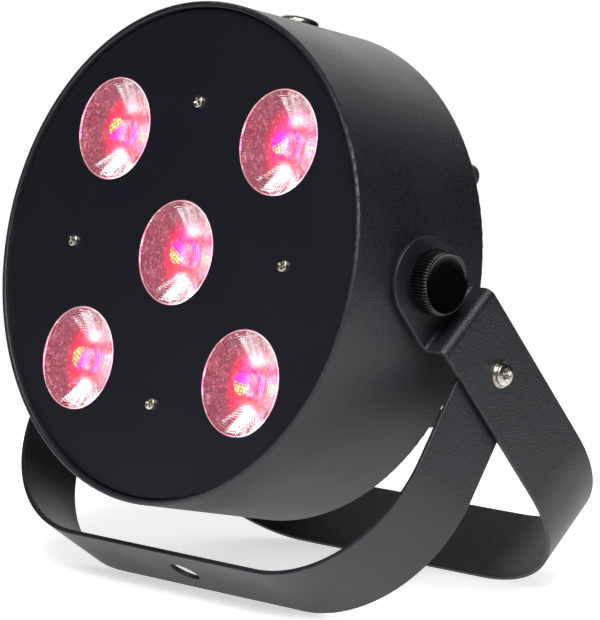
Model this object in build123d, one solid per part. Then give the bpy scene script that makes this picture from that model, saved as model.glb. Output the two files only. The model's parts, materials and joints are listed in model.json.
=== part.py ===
from build123d import *
from math import acos, atan2, cos, degrees, hypot, radians, sin
import os

# Compact five-lens LED par light on a double yoke. Millimetres, degrees.
# The head is drawn in its own frame: front rim plane at y = 0, +y towards the rear, +z up.
# The yokes are drawn hanging straight down from their pivots, then swung into place.

# ---- housing -------------------------------------------------------------------------------
HOUSING_R = 100.0  # outside radius of the drum
HOUSING_DEPTH = 71.6
WALL = 1.5
HEM_WIDTH = 2.3  # front edge folded inwards
HEM_DEPTH = 9.0
SAFETY_DEPTH = 50.0  # the safety bolt stands on top of the drum, behind the pivot
LEDGE_INNER_R = 90.0  # inner flanges that carry the front panel and the rear cover
PANEL_RECESS = 2.3
PANEL_T = 2.0
PANEL_R = HOUSING_R - HEM_WIDTH - 0.6
COVER_T = 1.5
COVER_R = HOUSING_R - WALL - 0.2
COVER_FRONT = HOUSING_DEPTH - COVER_T

# ---- optics --------------------------------------------------------------------------------
LENS_R = 20.7
LENS_OFFSET = 46.8  # the four outer lenses stand at (+-offset, +-offset)
LENS_DEPTH = 19.0
LENS_GAP = 0.3
PANEL_SCREW_R = 60.1
PANEL_SCREW_ANGLES = (0, 90, 180, 270)
SINK_SCREW_R = 78.0
SINK_SCREW_ANGLES = (0, 90, 180, 270)
LED_BOARD_FRONT = 26.0
LED_BOARD_T = 1.6
LED_BOARD_R = 86.0
SINK_PLATE_T = 4.0
SINK_FIN_H = 13.0
SINK_FIN_T = 2.0
SINK_FIN_PITCH = 10.0

# ---- tilt pivot, knobs and yokes -----------------------------------------------------------
PIVOT_DEPTH = 36.0  # from the rim plane
PIVOT_RISE = 2.4  # above the drum's centre line
HEAD_TILT = 11.2  # face-up tilt at rest
SHEET = 2.0  # yoke plate thickness
YOKE_WIDTH = 34.4
EAR_OUTER_X = 103.45  # outer face of the main yoke's ears
ARM_OUTER_X = 113.7  # outer face of its arms, below the step
STEP_DOWN = 20.5  # pivot to the middle of the step
STEP_BEND = 2.5
MAIN_LENGTH = 163.0  # pivot to the strap's outer face
MAIN_BEND = 60.5
MAIN_ANGLE = 41.2  # backwards from straight down
STAND_PIVOT_DOWN = 49.3
STAND_OUTER_X = 110.6
STAND_LENGTH = 104.8
STAND_BEND = 56.5
CLAMP_HOLE_R = 6.5
STUD_R = 3.95
RUNNING = 0.05  # radial running clearance
KNOB_R = 12.6
KNOB_INNER_X = 105.9
KNOB_OUTER_X = 114.1
KNOB_RIDGES = 60
STAND_SHANK_R = 2.45  # shank of the stand's pivot screws

# ---- rear cover ----------------------------------------------------------------------------
FOOT_R = 5.5
FOOT_HEIGHT = 8.0
FOOT_CIRCLE_R = 92.0
FOOT_ANGLE = 31.0
COVER_SCREW_CIRCLE_R = 94.0
COVER_SCREW_ANGLES = (0, 60, 120, 180, 240, 300)
SOCKET_X = 38.0
DATA_Z = -6.0
POWER_Z = -50.0
DISPLAY_Z = 54.0
BUTTON_Z = 33.0
BUTTON_PITCH = 14.0
BUTTON_R = 3.2
BUTTON_TRAVEL = 0.8
SOCKET_FLANGE_T = 2.0
SOCKET_FACE = HOUSING_DEPTH + SOCKET_FLANGE_T
DATA_BORE_R = 9.4
DATA_DEPTH = 17.0
DATA_SCREWS = ((-9.6, 12.2), (9.6, -12.2))
DATA_PIN_CIRCLE_R = 3.9
LATCH_Z = 12.5
POWER_HALF_WIDTH = 15.5
POWER_BODY_HALF_WIDTH = 13.7
POWER_BODY_DEPTH = 19.5
POWER_CAVITY = (24.4, 16.6, 16.5)  # width, height, depth
CAVITY_Z = 6.5
DRAWER = (20.0, 7.0, 17.0)
DRAWER_Z = -10.5
INLET_SCREW_Z = 21.6
OUTLET_SCREW_Z = 13.7
M3_CLEAR_R = 1.6

# ---- electronics ---------------------------------------------------------------------------
BOARD_T = 1.6
BOARD_BACK = 61.0  # rear face of the control board
BOARD_HALF_WIDTH = 46.0
BOARD_PILLARS = [(x, z) for x in (-43, 43) for z in (BUTTON_Z - 6, DISPLAY_Z + 9)]
SUPPLY_FRONT = 50.5
SUPPLY_BACK = SUPPLY_FRONT + BOARD_T
SUPPLY_PILLARS = [(x, z) for x in (-17, 17) for z in (-81, 11)]
BOARD_PILLAR_ACROSS = 5.0

BEYOND = 300.0  # a length past everything, for cutting tools
PIECES = {}


def turned(outline, rounds=()):
    """A solid turned about the Y axis from (radius, y) points; rounds is (point, radius) pairs."""
    face = make_face(Polyline(*outline, close=True))
    for point, radius in rounds:
        corner = face.vertices().sort_by_distance((*point, 0))[0]
        face = fillet(corner, radius)
    return revolve(face, Axis.Y)


def rod(radius, start, end):
    """A cylinder along Y from start to end."""
    return Pos(0, (start + end) / 2, 0) * Rot(X=90) * Cylinder(radius, abs(end - start))


def block(x, y, z):
    """A box from its (low, high) span along each axis."""
    spans = (x, y, z)
    middle = [(low + high) / 2 for low, high in spans]
    return Pos(*middle) * Box(*[high - low for low, high in spans])


def hexagon_rod(across_flats, start, end):
    """A hexagonal prism along Y."""
    side = RegularPolygon(across_flats / 2, 6, major_radius=False)
    return Pos(0, start, 0) * Rot(X=-90) * extrude(side, end - start)


def pan_screw(head_r, head_h, shank_r, length, flange_r=0.0, flange_h=0.0):
    """A cross-recessed screw along Y: its head points to -Y and its seat is at y = 0."""
    top = -flange_h - head_h
    outline = [(0, top), (head_r, top), (head_r, -flange_h)]
    if flange_r:
        outline += [(flange_r, -flange_h), (flange_r, 0)]
    outline += [(shank_r, 0), (shank_r, length), (0, length)]
    screw = turned(outline, [((head_r, top), 0.7 * head_h)])
    recess = 0.62 * head_h
    for long_x, long_z in ((1.25, 0.34), (0.34, 1.25)):
        half_x, half_z = long_x * head_r / 2, long_z * head_r / 2
        screw -= block((-half_x, half_x), (top - 1, top + recess), (-half_z, half_z))
    return screw


def on_circle(piece, radius, angles):
    """Copies of a piece that stand on a circle about the Y axis; angle 0 is +X, 90 is +Z."""
    copies = []
    for angle in angles:
        x, z = radius * cos(radians(angle)), radius * sin(radians(angle))
        copies.append(Pos(x, 0, z) * piece)
    return copies


def lens_places():
    """Centres of the five lenses, by name."""
    places = {"centre": (0.0, 0.0)}
    for side, x in (("left", -LENS_OFFSET), ("right", LENS_OFFSET)):
        for level, z in (("top", LENS_OFFSET), ("bottom", -LENS_OFFSET)):
            places[f"{level}_{side}"] = (x, z)
    return places


# ---- head: front ---------------------------------------------------------------------------
def housing_shell():
    inner, hem = HOUSING_R - WALL, HOUSING_R - HEM_WIDTH
    back = PANEL_RECESS + PANEL_T
    cover = COVER_FRONT
    outline = [
        (hem, 0), (HOUSING_R, 0), (HOUSING_R, HOUSING_DEPTH), (inner, HOUSING_DEPTH),
        (inner, cover), (LEDGE_INNER_R, cover), (LEDGE_INNER_R, cover - WALL),
        (inner, cover - WALL), (inner, HEM_DEPTH), (hem, HEM_DEPTH), (hem, back + WALL),
        (LEDGE_INNER_R, back + WALL), (LEDGE_INNER_R, back), (hem, back),
    ]
    shell = turned(outline, [((HOUSING_R, 0), 1.1), ((hem, 0), 0.8), ((HOUSING_R, HOUSING_DEPTH), 0.7)])
    for side in (-1, 1):
        drill = Rot(Z=-90) * rod(STUD_R + 0.35, 80, 110)
        shell -= Pos(0, PIVOT_DEPTH, PIVOT_RISE) * Rot(Z=0 if side > 0 else 180) * drill
    shell -= Pos(0, SAFETY_DEPTH, HOUSING_R) * Cylinder(4.0, 12)
    for hole in on_circle(rod(1.25, cover - WALL - 1, cover + 1), COVER_SCREW_CIRCLE_R, COVER_SCREW_ANGLES):
        shell -= hole
    return shell


def front_panel():
    front, back = PANEL_RECESS, PANEL_RECESS + PANEL_T
    outline = [(0, front), (PANEL_R, front), (PANEL_R, back), (0, back)]
    panel = turned(outline, [((PANEL_R, front), 0.3)])
    for x, z in lens_places().values():
        panel -= Pos(x, 0, z) * rod(LENS_R + LENS_GAP, front - 1, back + 1)
    for hole in on_circle(rod(M3_CLEAR_R, front - 1, back + 1), PANEL_SCREW_R, PANEL_SCREW_ANGLES):
        panel -= hole
    return panel


def panel_screws():
    screw = Pos(0, PANEL_RECESS, 0) * pan_screw(2.5, 1.5, 1.45, 10)
    return on_circle(screw, PANEL_SCREW_R, PANEL_SCREW_ANGLES)


def panel_pillars():
    back = PANEL_RECESS + PANEL_T
    pillar = hexagon_rod(5.5, back, LED_BOARD_FRONT)
    pillar -= rod(1.5, back - 1, back + 12)
    return on_circle(pillar, PANEL_SCREW_R, PANEL_SCREW_ANGLES)


def lens():
    """A collimator lens: a ringed face, a rim flange, a cone behind it and a pocket over the LED."""
    front, back = PANEL_RECESS, PANEL_RECESS + LENS_DEPTH
    flange = PANEL_RECESS + PANEL_T + 0.2
    outline = [(0, front + 1.6)]
    for ring in range(1, 6):
        outline.append((ring * 3.2, front + 1.6 - 0.25 * ring))
    outline += [
        (LENS_R - 1.6, front), (LENS_R, front), (LENS_R, flange), (LENS_R + 0.9, flange),
        (LENS_R + 0.9, flange + 1.4), (LENS_R - 0.5, flange + 1.4), (7.0, back), (3.6, back),
        (3.0, back - 5.0), (0, back - 6.0),
    ]
    return turned(outline, [((LENS_R, front), 0.4)])


def lens_holder():
    """A black cup that seats the lens and centres it on the LED."""
    top = PANEL_RECESS + PANEL_T + 2.0
    outline = [
        (LENS_R + 1.2, top), (LENS_R + 2.4, top), (LENS_R + 2.4, top + 3.0), (11.5, LED_BOARD_FRONT - 2.0),
        (11.5, LED_BOARD_FRONT), (8.2, LED_BOARD_FRONT), (8.2, LED_BOARD_FRONT - 3.2),
        (LENS_R + 1.2, top + 2.2),
    ]
    return turned(outline)


def led_emitter():
    base = block((-4, 4), (LED_BOARD_FRONT - 1.0, LED_BOARD_FRONT), (-4, 4))
    dome = Pos(0, LED_BOARD_FRONT - 1.0, 0) * Sphere(2.4)
    dome &= block((-4, 4), (LED_BOARD_FRONT - 5, LED_BOARD_FRONT - 1.0), (-4, 4))
    return base + dome


def led_board():
    board = rod(LED_BOARD_R, LED_BOARD_FRONT, LED_BOARD_FRONT + LED_BOARD_T)
    drill = rod(M3_CLEAR_R, LED_BOARD_FRONT - 6, LED_BOARD_FRONT + 4)
    for hole in on_circle(drill, SINK_SCREW_R, SINK_SCREW_ANGLES):
        board -= hole
    return board


def heat_sink():
    """A round finned plate behind the LED board, open round the connectors' backs."""
    front = LED_BOARD_FRONT + LED_BOARD_T
    back = front + SINK_PLATE_T
    sink = rod(LED_BOARD_R - 2, front, back)
    fin_count = 15
    for number in range(fin_count):
        x = (number - (fin_count - 1) / 2) * SINK_FIN_PITCH
        half = (max((LED_BOARD_R - 4) ** 2 - x * x, 0)) ** 0.5
        sink += block((x - SINK_FIN_T / 2, x + SINK_FIN_T / 2), (back, back + SINK_FIN_H), (-half, half))
    for hole in on_circle(rod(1.25, front - 1, back + 1), SINK_SCREW_R, SINK_SCREW_ANGLES):
        sink -= hole
    return sink


def sink_screws():
    screw = Pos(0, LED_BOARD_FRONT, 0) * pan_screw(2.6, 1.6, 1.2, 5.0)
    return on_circle(screw, SINK_SCREW_R, SINK_SCREW_ANGLES)


# ---- head: rear ----------------------------------------------------------------------------
def rear_cover():
    cover = rod(COVER_R, COVER_FRONT, HOUSING_DEPTH)

    def cut(x, z, half_x, half_z):
        return block((x - half_x, x + half_x), (COVER_FRONT - 1, HOUSING_DEPTH + 1), (z - half_z, z + half_z))

    cover -= cut(0, DISPLAY_Z, 20, 8)
    for number in range(4):
        x = (number - 1.5) * BUTTON_PITCH
        cover -= Pos(x, 0, BUTTON_Z) * rod(BUTTON_R + 0.15, COVER_FRONT - 1, HOUSING_DEPTH + 1)
    for side in (-1, 1):
        cover -= Pos(side * SOCKET_X, 0, DATA_Z) * rod(12.0, COVER_FRONT - 1, HOUSING_DEPTH + 1)
        for row in range(6):
            cover -= cut(side * 71, (row - 2.5) * 7.0, 11, 1.2)
    cover -= cut(SOCKET_X, DATA_Z + LATCH_Z, 4.3, 1.7)
    for x, z in socket_screw_places():
        cover -= Pos(x, 0, z) * rod(M3_CLEAR_R, COVER_FRONT - 1, HOUSING_DEPTH + 1)
    cover -= cut(-SOCKET_X, POWER_Z, 13.9, 19.0)
    cover -= cut(SOCKET_X, POWER_Z, 13.9, 10.9)
    for row in range(3):
        cover -= cut(0, 72 + row * 7.0, 26, 1.2)
    drill = rod(M3_CLEAR_R, COVER_FRONT - 1, HOUSING_DEPTH + 1)
    for hole in on_circle(drill, COVER_SCREW_CIRCLE_R, COVER_SCREW_ANGLES):
        cover -= hole
    return cover


def cover_screws():
    screw = Pos(0, HOUSING_DEPTH, 0) * Rot(X=180) * pan_screw(2.9, 1.9, 1.2, 4.5)
    return on_circle(screw, COVER_SCREW_CIRCLE_R, COVER_SCREW_ANGLES)


def rear_feet():
    """Four rubber feet, so that the light can also stand on its back."""
    outline = [(0, HOUSING_DEPTH), (FOOT_R, HOUSING_DEPTH), (FOOT_R - 0.6, HOUSING_DEPTH + FOOT_HEIGHT),
               (0, HOUSING_DEPTH + FOOT_HEIGHT)]
    rubber = turned(outline, [((FOOT_R - 0.6, HOUSING_DEPTH + FOOT_HEIGHT), 1.6)])
    angles = (FOOT_ANGLE, 180 - FOOT_ANGLE, 180 + FOOT_ANGLE, -FOOT_ANGLE)
    return on_circle(rubber, FOOT_CIRCLE_R, angles)


def power_inlet():
    """A chassis inlet: flange, deep body, keyed cavity with three blades, and a fuse drawer's well."""
    wide, high, deep = POWER_CAVITY
    face = SOCKET_FACE
    flange, behind = POWER_HALF_WIDTH, POWER_BODY_HALF_WIDTH
    body = block((-flange, flange), (HOUSING_DEPTH, face), (-24.5, 24.5))
    body += block((-behind, behind), (HOUSING_DEPTH - POWER_BODY_DEPTH, HOUSING_DEPTH), (-18.8, 18.8))
    low, top = CAVITY_Z - high / 2, CAVITY_Z + high / 2
    cavity = block((-wide / 2, wide / 2), (face - deep, face + 1), (low, top))
    corners = cavity.edges().filter_by(Axis.Y).group_by(Axis.Z)[-1]
    body -= chamfer(corners, 4.5)
    for x, z in ((0, 2.2), (-7, -2.2), (7, -2.2)):
        tall = CAVITY_Z + z
        body += block((x - 1, x + 1), (face - deep, face - 4.8), (tall - 2, tall + 2))
    width, height, depth = DRAWER
    body -= block((-width / 2 - 0.2, width / 2 + 0.2), (face - depth - 0.4, face + 1),
                  (DRAWER_Z - height / 2 - 0.2, DRAWER_Z + height / 2 + 0.2))
    for z in (-INLET_SCREW_Z, INLET_SCREW_Z):
        body -= Pos(0, 0, z) * rod(M3_CLEAR_R, HOUSING_DEPTH - 1, face + 1)
    return Pos(-SOCKET_X, 0, POWER_Z) * body


def fuse_drawer():
    """A pull-out fuse carrier with a finger lip, a fuse recess and two end walls."""
    width, height, depth = DRAWER
    face = SOCKET_FACE
    half, low, top = width / 2, DRAWER_Z - height / 2, DRAWER_Z + height / 2
    drawer = block((-half, half), (face - depth, face + 0.2), (low, top))
    drawer += block((-half, half), (face + 0.2, face + 1.6), (low, top))
    drawer -= block((-width / 2 + 1.5, width / 2 - 1.5), (face - depth + 2, face - 3),
                    (DRAWER_Z - 1.5, DRAWER_Z + height))
    return Pos(-SOCKET_X, 0, POWER_Z) * drawer


def power_outlet():
    """A chassis outlet: flange, body, raised keyed nose and three blade slots."""
    face = SOCKET_FACE
    flange, behind = POWER_HALF_WIDTH, POWER_BODY_HALF_WIDTH
    body = block((-flange, flange), (HOUSING_DEPTH, face), (-16.5, 16.5))
    body += block((-behind, behind), (HOUSING_DEPTH - POWER_BODY_DEPTH, HOUSING_DEPTH), (-10.7, 10.7))
    nose = block((-10.5, 10.5), (HOUSING_DEPTH - 17, face), (-7.0, 7.0))
    moat = block((-12.3, 12.3), (HOUSING_DEPTH - 15, face + 1), (-8.6, 8.6))
    corners = nose.edges().filter_by(Axis.Y).group_by(Axis.Z)[-1]
    body = body - moat + chamfer(corners, 3.5)
    for x, z in ((0, 2.6), (-7, -2.4), (7, -2.4)):
        body -= block((x - 1.2, x + 1.2), (face - 13, face + 1), (z - 2.2, z + 2.2))
    for z in (-OUTLET_SCREW_Z, OUTLET_SCREW_Z):
        body -= Pos(0, 0, z) * rod(M3_CLEAR_R, HOUSING_DEPTH - 1, face + 1)
    return Pos(SOCKET_X, 0, POWER_Z) * body


def data_plate():
    """The common flange of the data sockets."""
    face = SOCKET_FACE
    plate = block((-13.2, 13.2), (HOUSING_DEPTH, face), (-15.6, 15.6))
    plate = fillet(plate.edges().filter_by(Axis.Y), 2.5)
    plate += rod(11.8, HOUSING_DEPTH - DATA_DEPTH, HOUSING_DEPTH)
    for x, z in DATA_SCREWS:
        plate -= Pos(x, 0, z) * rod(M3_CLEAR_R, HOUSING_DEPTH - 1, face + 1)
    return plate


def data_input():
    """The data input: a socket with three pins set back from its mouth."""
    face = SOCKET_FACE
    socket = data_plate() - rod(DATA_BORE_R, face - 16, face + 1)
    for pin in on_circle(rod(1.2, face - 16, face - 4.8), DATA_PIN_CIRCLE_R, [90, 210, 330]):
        socket += pin
    return Pos(-SOCKET_X, 0, DATA_Z) * socket


def data_output():
    """The data output: an insulator with three pin holes in a ring gap, and a slot for its latch."""
    face = SOCKET_FACE
    socket = data_plate() - (rod(DATA_BORE_R, face - 15, face + 1) - rod(7.7, face - 15, face + 1))
    socket -= rod(7.8, face - 0.5, face + 1)
    for hole in on_circle(rod(1.35, face - 12, face + 1), DATA_PIN_CIRCLE_R, [270, 30, 150]):
        socket -= hole
    socket -= block((-4.2, 4.2), (face - 12, face + 1), (LATCH_Z - 1.6, LATCH_Z + 1.6))
    return Pos(SOCKET_X, 0, DATA_Z) * socket


def data_latch():
    """The thumb tab that frees a plug from the data output."""
    face = SOCKET_FACE
    tab = block((-4.0, 4.0), (face - 9, face + 2.6), (LATCH_Z - 1.4, LATCH_Z + 1.4))
    tab = fillet(tab.edges().group_by(Axis.Y)[-1], 0.5)
    return Pos(SOCKET_X, 0, DATA_Z) * tab


def socket_screw_places():
    places = []
    for side in (-1, 1):
        places += [(side * SOCKET_X + x, DATA_Z + z) for x, z in DATA_SCREWS]
    places += [(-SOCKET_X, POWER_Z + z) for z in (-INLET_SCREW_Z, INLET_SCREW_Z)]
    places += [(SOCKET_X, POWER_Z + z) for z in (-OUTLET_SCREW_Z, OUTLET_SCREW_Z)]
    return places


def socket_screws():
    """Screws through the sockets' flanges."""
    screw = Pos(0, SOCKET_FACE, 0) * Rot(X=180) * pan_screw(2.7, 1.6, 1.5, 5.0)
    return [Pos(x, 0, z) * screw for x, z in socket_screw_places()]


def display_window():
    pane = block((-19.9, 19.9), (COVER_FRONT, HOUSING_DEPTH + 0.3), (DISPLAY_Z - 7.9, DISPLAY_Z + 7.9))
    pane = fillet(pane.edges().group_by(Axis.Y)[-1], 0.25)
    flange = block((-22, 22), (COVER_FRONT - 1.2, COVER_FRONT), (DISPLAY_Z - 10, DISPLAY_Z + 10))
    return pane + flange


def control_board():
    half = BOARD_HALF_WIDTH
    board = block((-half, half), (BOARD_BACK - BOARD_T, BOARD_BACK), (BUTTON_Z - 9, DISPLAY_Z + 12))
    for x, z in BOARD_PILLARS:
        board -= Pos(x, 0, z) * rod(M3_CLEAR_R, BOARD_BACK - 11, BOARD_BACK + 9)
    return board


def display_module():
    """The digit module behind the window."""
    return block((-18, 18), (BOARD_BACK, COVER_FRONT - 1.5), (DISPLAY_Z - 7, DISPLAY_Z + 7))


def key_switches():
    """The four key switches soldered to the control board."""
    switches = []
    for number in range(4):
        body = block((-3, 3), (BOARD_BACK, BOARD_BACK + 3.5), (-3, 3))
        body += rod(1.7, BOARD_BACK + 3.5, BOARD_BACK + 4.6)
        switches.append(Pos((number - 1.5) * BUTTON_PITCH, 0, BUTTON_Z) * body)
    return switches


def board_pillars():
    return [Pos(x, 0, z) * hexagon_rod(BOARD_PILLAR_ACROSS, BOARD_BACK, COVER_FRONT)
            for x, z in BOARD_PILLARS]


def button():
    """A push button: a domed cap, and a collar that keeps it in."""
    collar_front = COVER_FRONT - 1.4 - BUTTON_TRAVEL + 0.6
    outline = [(0, collar_front - 1.6), (2.0, collar_front - 1.6), (2.0, collar_front), (4.6, collar_front),
               (4.6, COVER_FRONT - 0.1), (BUTTON_R, COVER_FRONT - 0.1), (BUTTON_R, HOUSING_DEPTH + 2.0),
               (0, HOUSING_DEPTH + 2.0)]
    return turned(outline, [((BUTTON_R, HOUSING_DEPTH + 2.0), 0.9)])


def supply_board():
    board = block((-20, 20), (SUPPLY_FRONT, SUPPLY_BACK), (-84, 14))
    for x, z in SUPPLY_PILLARS:
        board -= Pos(x, 0, z) * rod(M3_CLEAR_R, SUPPLY_FRONT - 10, SUPPLY_FRONT + 10)
    return board


def supply_pillars():
    return [Pos(x, 0, z) * hexagon_rod(BOARD_PILLAR_ACROSS, SUPPLY_BACK, COVER_FRONT)
            for x, z in SUPPLY_PILLARS]


def supply_transformer():
    """The switching transformer: a ferrite core round a wound bobbin."""
    back = SUPPLY_BACK
    core = block((-12, 12), (back + 2, back + 14), (-36, -12))
    core -= block((-9, 9), (back + 1, back + 15), (-32, -28))
    core -= block((-9, 9), (back + 1, back + 15), (-20, -16))
    bobbin = block((-8.8, 8.8), (back, back + 15.5), (-31.8, -28.2))
    bobbin += block((-8.8, 8.8), (back, back + 15.5), (-19.8, -16.2))
    return core + bobbin


def supply_capacitors():
    back = SUPPLY_BACK
    cans = []
    for x, z, radius, height in ((-8, -58, 7.5, 16), (9, -60, 6.0, 15), (-9, -4, 4.0, 12), (3, -4, 4.0, 12)):
        outline = [(0, back), (radius, back), (radius, back + height), (0, back + height)]
        cans.append(Pos(x, 0, z) * turned(outline, [((radius, back + height), 0.8)]))
    return cans


def safety_bolt():
    """A low wide-headed bolt on top of the drum, for a safety wire's shackle."""
    outline = [(0, -2.9), (8.25, -2.9), (8.25, 0), (3.9, 0), (3.9, 11), (0, 11)]
    bolt = turned(outline, [((8.25, -2.9), 1.5)])
    bolt -= rod(2.3, -4, -1.2)
    return Pos(0, SAFETY_DEPTH, HOUSING_R) * Rot(X=-90) * bolt


def safety_nut():
    nut = hexagon_rod(13, 2.0, 8.0) - rod(3.95, 1, 9)
    return Pos(0, SAFETY_DEPTH, HOUSING_R) * Rot(X=-90) * nut


# ---- pivots --------------------------------------------------------------------------------
def outwards(piece, side):
    """Turns a piece drawn along +Y so that it points out along +X or -X."""
    return Rot(Z=-90 * side) * piece


def on_both_sides(piece):
    return [outwards(piece, side) for side in (1, -1)]


def pivot_insert():
    """A threaded insert fixed inside the drum's wall."""
    insert = hexagon_rod(15, 88.0, 95.7) + rod(8.6, 95.7, 97.7)
    return insert - rod(STUD_R + RUNNING, 87, 99)


def friction_washer():
    return rod(11.0, 100.05, EAR_OUTER_X - SHEET - 0.05) - rod(STUD_R + 0.3, 99, 103)


def knob_stud():
    outline = [(0, 86.5), (STUD_R, 86.5), (STUD_R, 110.0), (0, 110.0)]
    return turned(outline, [((STUD_R, 86.5), 0.8)])


def knob_grip():
    """A round ridged grip with a hub, a raised rim and a sunk face."""
    tips = []
    for number in range(KNOB_RIDGES * 2):
        radius = KNOB_R - (0.0 if number % 2 else 0.55)
        angle = radians(180 * number / KNOB_RIDGES)
        tips.append((radius * cos(angle), radius * sin(angle)))
    ridged = extrude(make_face(Polyline(*tips, close=True)), KNOB_OUTER_X - KNOB_INNER_X)
    ridged = Pos(0, KNOB_INNER_X, 0) * Rot(X=-90) * ridged
    outline = [(0, KNOB_INNER_X), (KNOB_R + 1, KNOB_INNER_X), (KNOB_R + 1, KNOB_OUTER_X - 1.2),
               (KNOB_R - 0.9, KNOB_OUTER_X), (11.0, KNOB_OUTER_X), (10.6, KNOB_OUTER_X - 0.5),
               (0, KNOB_OUTER_X - 0.5)]
    grip = ridged & turned(outline)
    grip += rod(8.0, EAR_OUTER_X + 0.1, KNOB_INNER_X)
    return grip - rod(STUD_R + RUNNING, 100, 110.1)


def stand_screw():
    """A flanged screw, seated on the main yoke's arm, that the stand swings on."""
    screw = pan_screw(4.5, 2.5, STAND_SHANK_R, 12.6, flange_r=5.35, flange_h=0.8)
    return Pos(0, ARM_OUTER_X, 0) * Rot(X=180) * screw


def stand_spacer():
    inner, outer = STAND_OUTER_X + 0.05, ARM_OUTER_X - SHEET
    return rod(8.0, inner, outer) - rod(STAND_SHANK_R + 0.05, inner - 1, outer + 1)


def stand_nut():
    outer = STAND_OUTER_X - SHEET - 0.05
    nut = rod(5.8, outer - 1.0, outer) + hexagon_rod(8, outer - 5.6, outer - 1.0)
    return nut - rod(STAND_SHANK_R + 0.03, outer - 7, outer + 1)


# ---- yokes ---------------------------------------------------------------------------------
def bent_strip(path_points, bends, top):
    """A strip of plate along a bent path in the XZ plane, with round ends at height top."""
    path = FilletPolyline(*path_points, radius=bends)
    strip = extrude(Plane.XZ * trace(path, line_width=SHEET), YOKE_WIDTH / 2, both=True)
    outline = Circle(YOKE_WIDTH / 2) + Pos(0, -BEYOND / 2) * Rectangle(YOKE_WIDTH, BEYOND)
    strip &= Pos(-BEYOND, 0, top - YOKE_WIDTH / 2) * extrude(Plane.YZ * outline, 2 * BEYOND)
    return strip


def cross_drill(radius, down):
    """A drill through both arms."""
    return Pos(0, 0, -down) * Rot(Z=-90) * rod(radius, -BEYOND, BEYOND)


def main_yoke():
    ear, arm = EAR_OUTER_X - SHEET / 2, ARM_OUTER_X - SHEET / 2
    top, strap = YOKE_WIDTH / 2, -(MAIN_LENGTH - SHEET / 2)
    right = [(ear, top), (ear, -STEP_DOWN), (arm, -STEP_DOWN), (arm, strap)]
    left = [(-x, z) for x, z in reversed(right)]
    bends = [STEP_BEND, STEP_BEND, MAIN_BEND, MAIN_BEND, STEP_BEND, STEP_BEND]
    yoke = bent_strip(right + left, bends, top)
    yoke -= cross_drill(STUD_R + 0.1, 0)
    yoke -= cross_drill(STAND_SHANK_R + 0.05, STAND_PIVOT_DOWN)
    yoke -= Pos(0, 0, strap) * Cylinder(CLAMP_HOLE_R, 10)
    return yoke


def stand_yoke():
    arm = STAND_OUTER_X - SHEET / 2
    top, strap = YOKE_WIDTH / 2, -(STAND_LENGTH - SHEET / 2)
    points = [(arm, top), (arm, strap), (-arm, strap), (-arm, top)]
    yoke = bent_strip(points, [STAND_BEND, STAND_BEND], top)
    yoke -= cross_drill(STAND_SHANK_R + 0.1, 0)
    yoke -= Pos(0, 0, strap) * Cylinder(CLAMP_HOLE_R, 10)
    return yoke


# ---- assembly ------------------------------------------------------------------------------
def stand_angle():
    """The stand's forward swing that puts its lower edge level with the main yoke's."""
    half = YOKE_WIDTH / 2
    pivot_height = MAIN_LENGTH * cos(radians(MAIN_ANGLE)) + half * sin(radians(MAIN_ANGLE))
    screw_height = pivot_height - STAND_PIVOT_DOWN * cos(radians(MAIN_ANGLE))
    return degrees(acos(screw_height / hypot(STAND_LENGTH, half)) + atan2(half, STAND_LENGTH))


def as_list(piece):
    return list(piece) if isinstance(piece, (list, tuple)) else [piece]


def place(name, piece, location):
    PIECES[name] = [location * solid for shape in as_list(piece) for solid in shape.solids()]


def build_head():
    head = Rot(X=-HEAD_TILT) * Pos(0, -PIVOT_DEPTH, -PIVOT_RISE)
    place("housing_shell", housing_shell(), head)
    place("front_panel", front_panel(), head)
    place("panel_screws", panel_screws(), head)
    place("panel_pillars", panel_pillars(), head)
    for name, (x, z) in lens_places().items():
        place(f"lens_{name}", lens(), head * Pos(x, 0, z))
        place(f"lens_holder_{name}", lens_holder(), head * Pos(x, 0, z))
        place(f"led_{name}", led_emitter(), head * Pos(x, 0, z))
    place("led_board", led_board(), head)
    place("heat_sink", heat_sink(), head)
    place("sink_screws", sink_screws(), head)
    place("rear_cover", rear_cover(), head)
    place("cover_screws", cover_screws(), head)
    for make in (rear_feet, power_inlet, fuse_drawer, power_outlet, data_input, data_output, data_latch,
                 socket_screws, display_window, control_board, display_module, key_switches, board_pillars,
                 supply_board, supply_pillars, supply_transformer, supply_capacitors, safety_bolt, safety_nut):
        place(make.__name__, make(), head)
    for number in range(4):
        place(f"button_{number + 1}", button(), head * Pos((number - 1.5) * BUTTON_PITCH, 0, BUTTON_Z))


def build_yokes():
    main = Rot(X=MAIN_ANGLE)
    screw_at = main * Pos(0, 0, -STAND_PIVOT_DOWN)
    place("main_yoke", main_yoke(), main)
    place("stand_yoke", stand_yoke(), Pos(*screw_at.position) * Rot(X=-stand_angle()))
    for make in (stand_screw, stand_spacer, stand_nut):
        place(make.__name__ + "s", on_both_sides(make()), screw_at)
    for make in (pivot_insert, friction_washer):
        place(make.__name__ + "s", on_both_sides(make()), Pos(0, 0, 0))
    for side, name in ((1, "right"), (-1, "left")):
        for make in (knob_stud, knob_grip):
            place(f"{make.__name__}_{name}", outwards(make(), side), Pos(0, 0, 0))


def stand_on_floor():
    """Moves every piece so that the origin is at the bottom centre of the whole light."""
    box = Compound([solid for solids in PIECES.values() for solid in solids]).bounding_box()
    shift = Pos(-box.center().X, -box.center().Y, -box.min.Z)
    for name, solids in PIECES.items():
        PIECES[name] = [shift * solid for solid in solids]
    return shift.position


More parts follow.
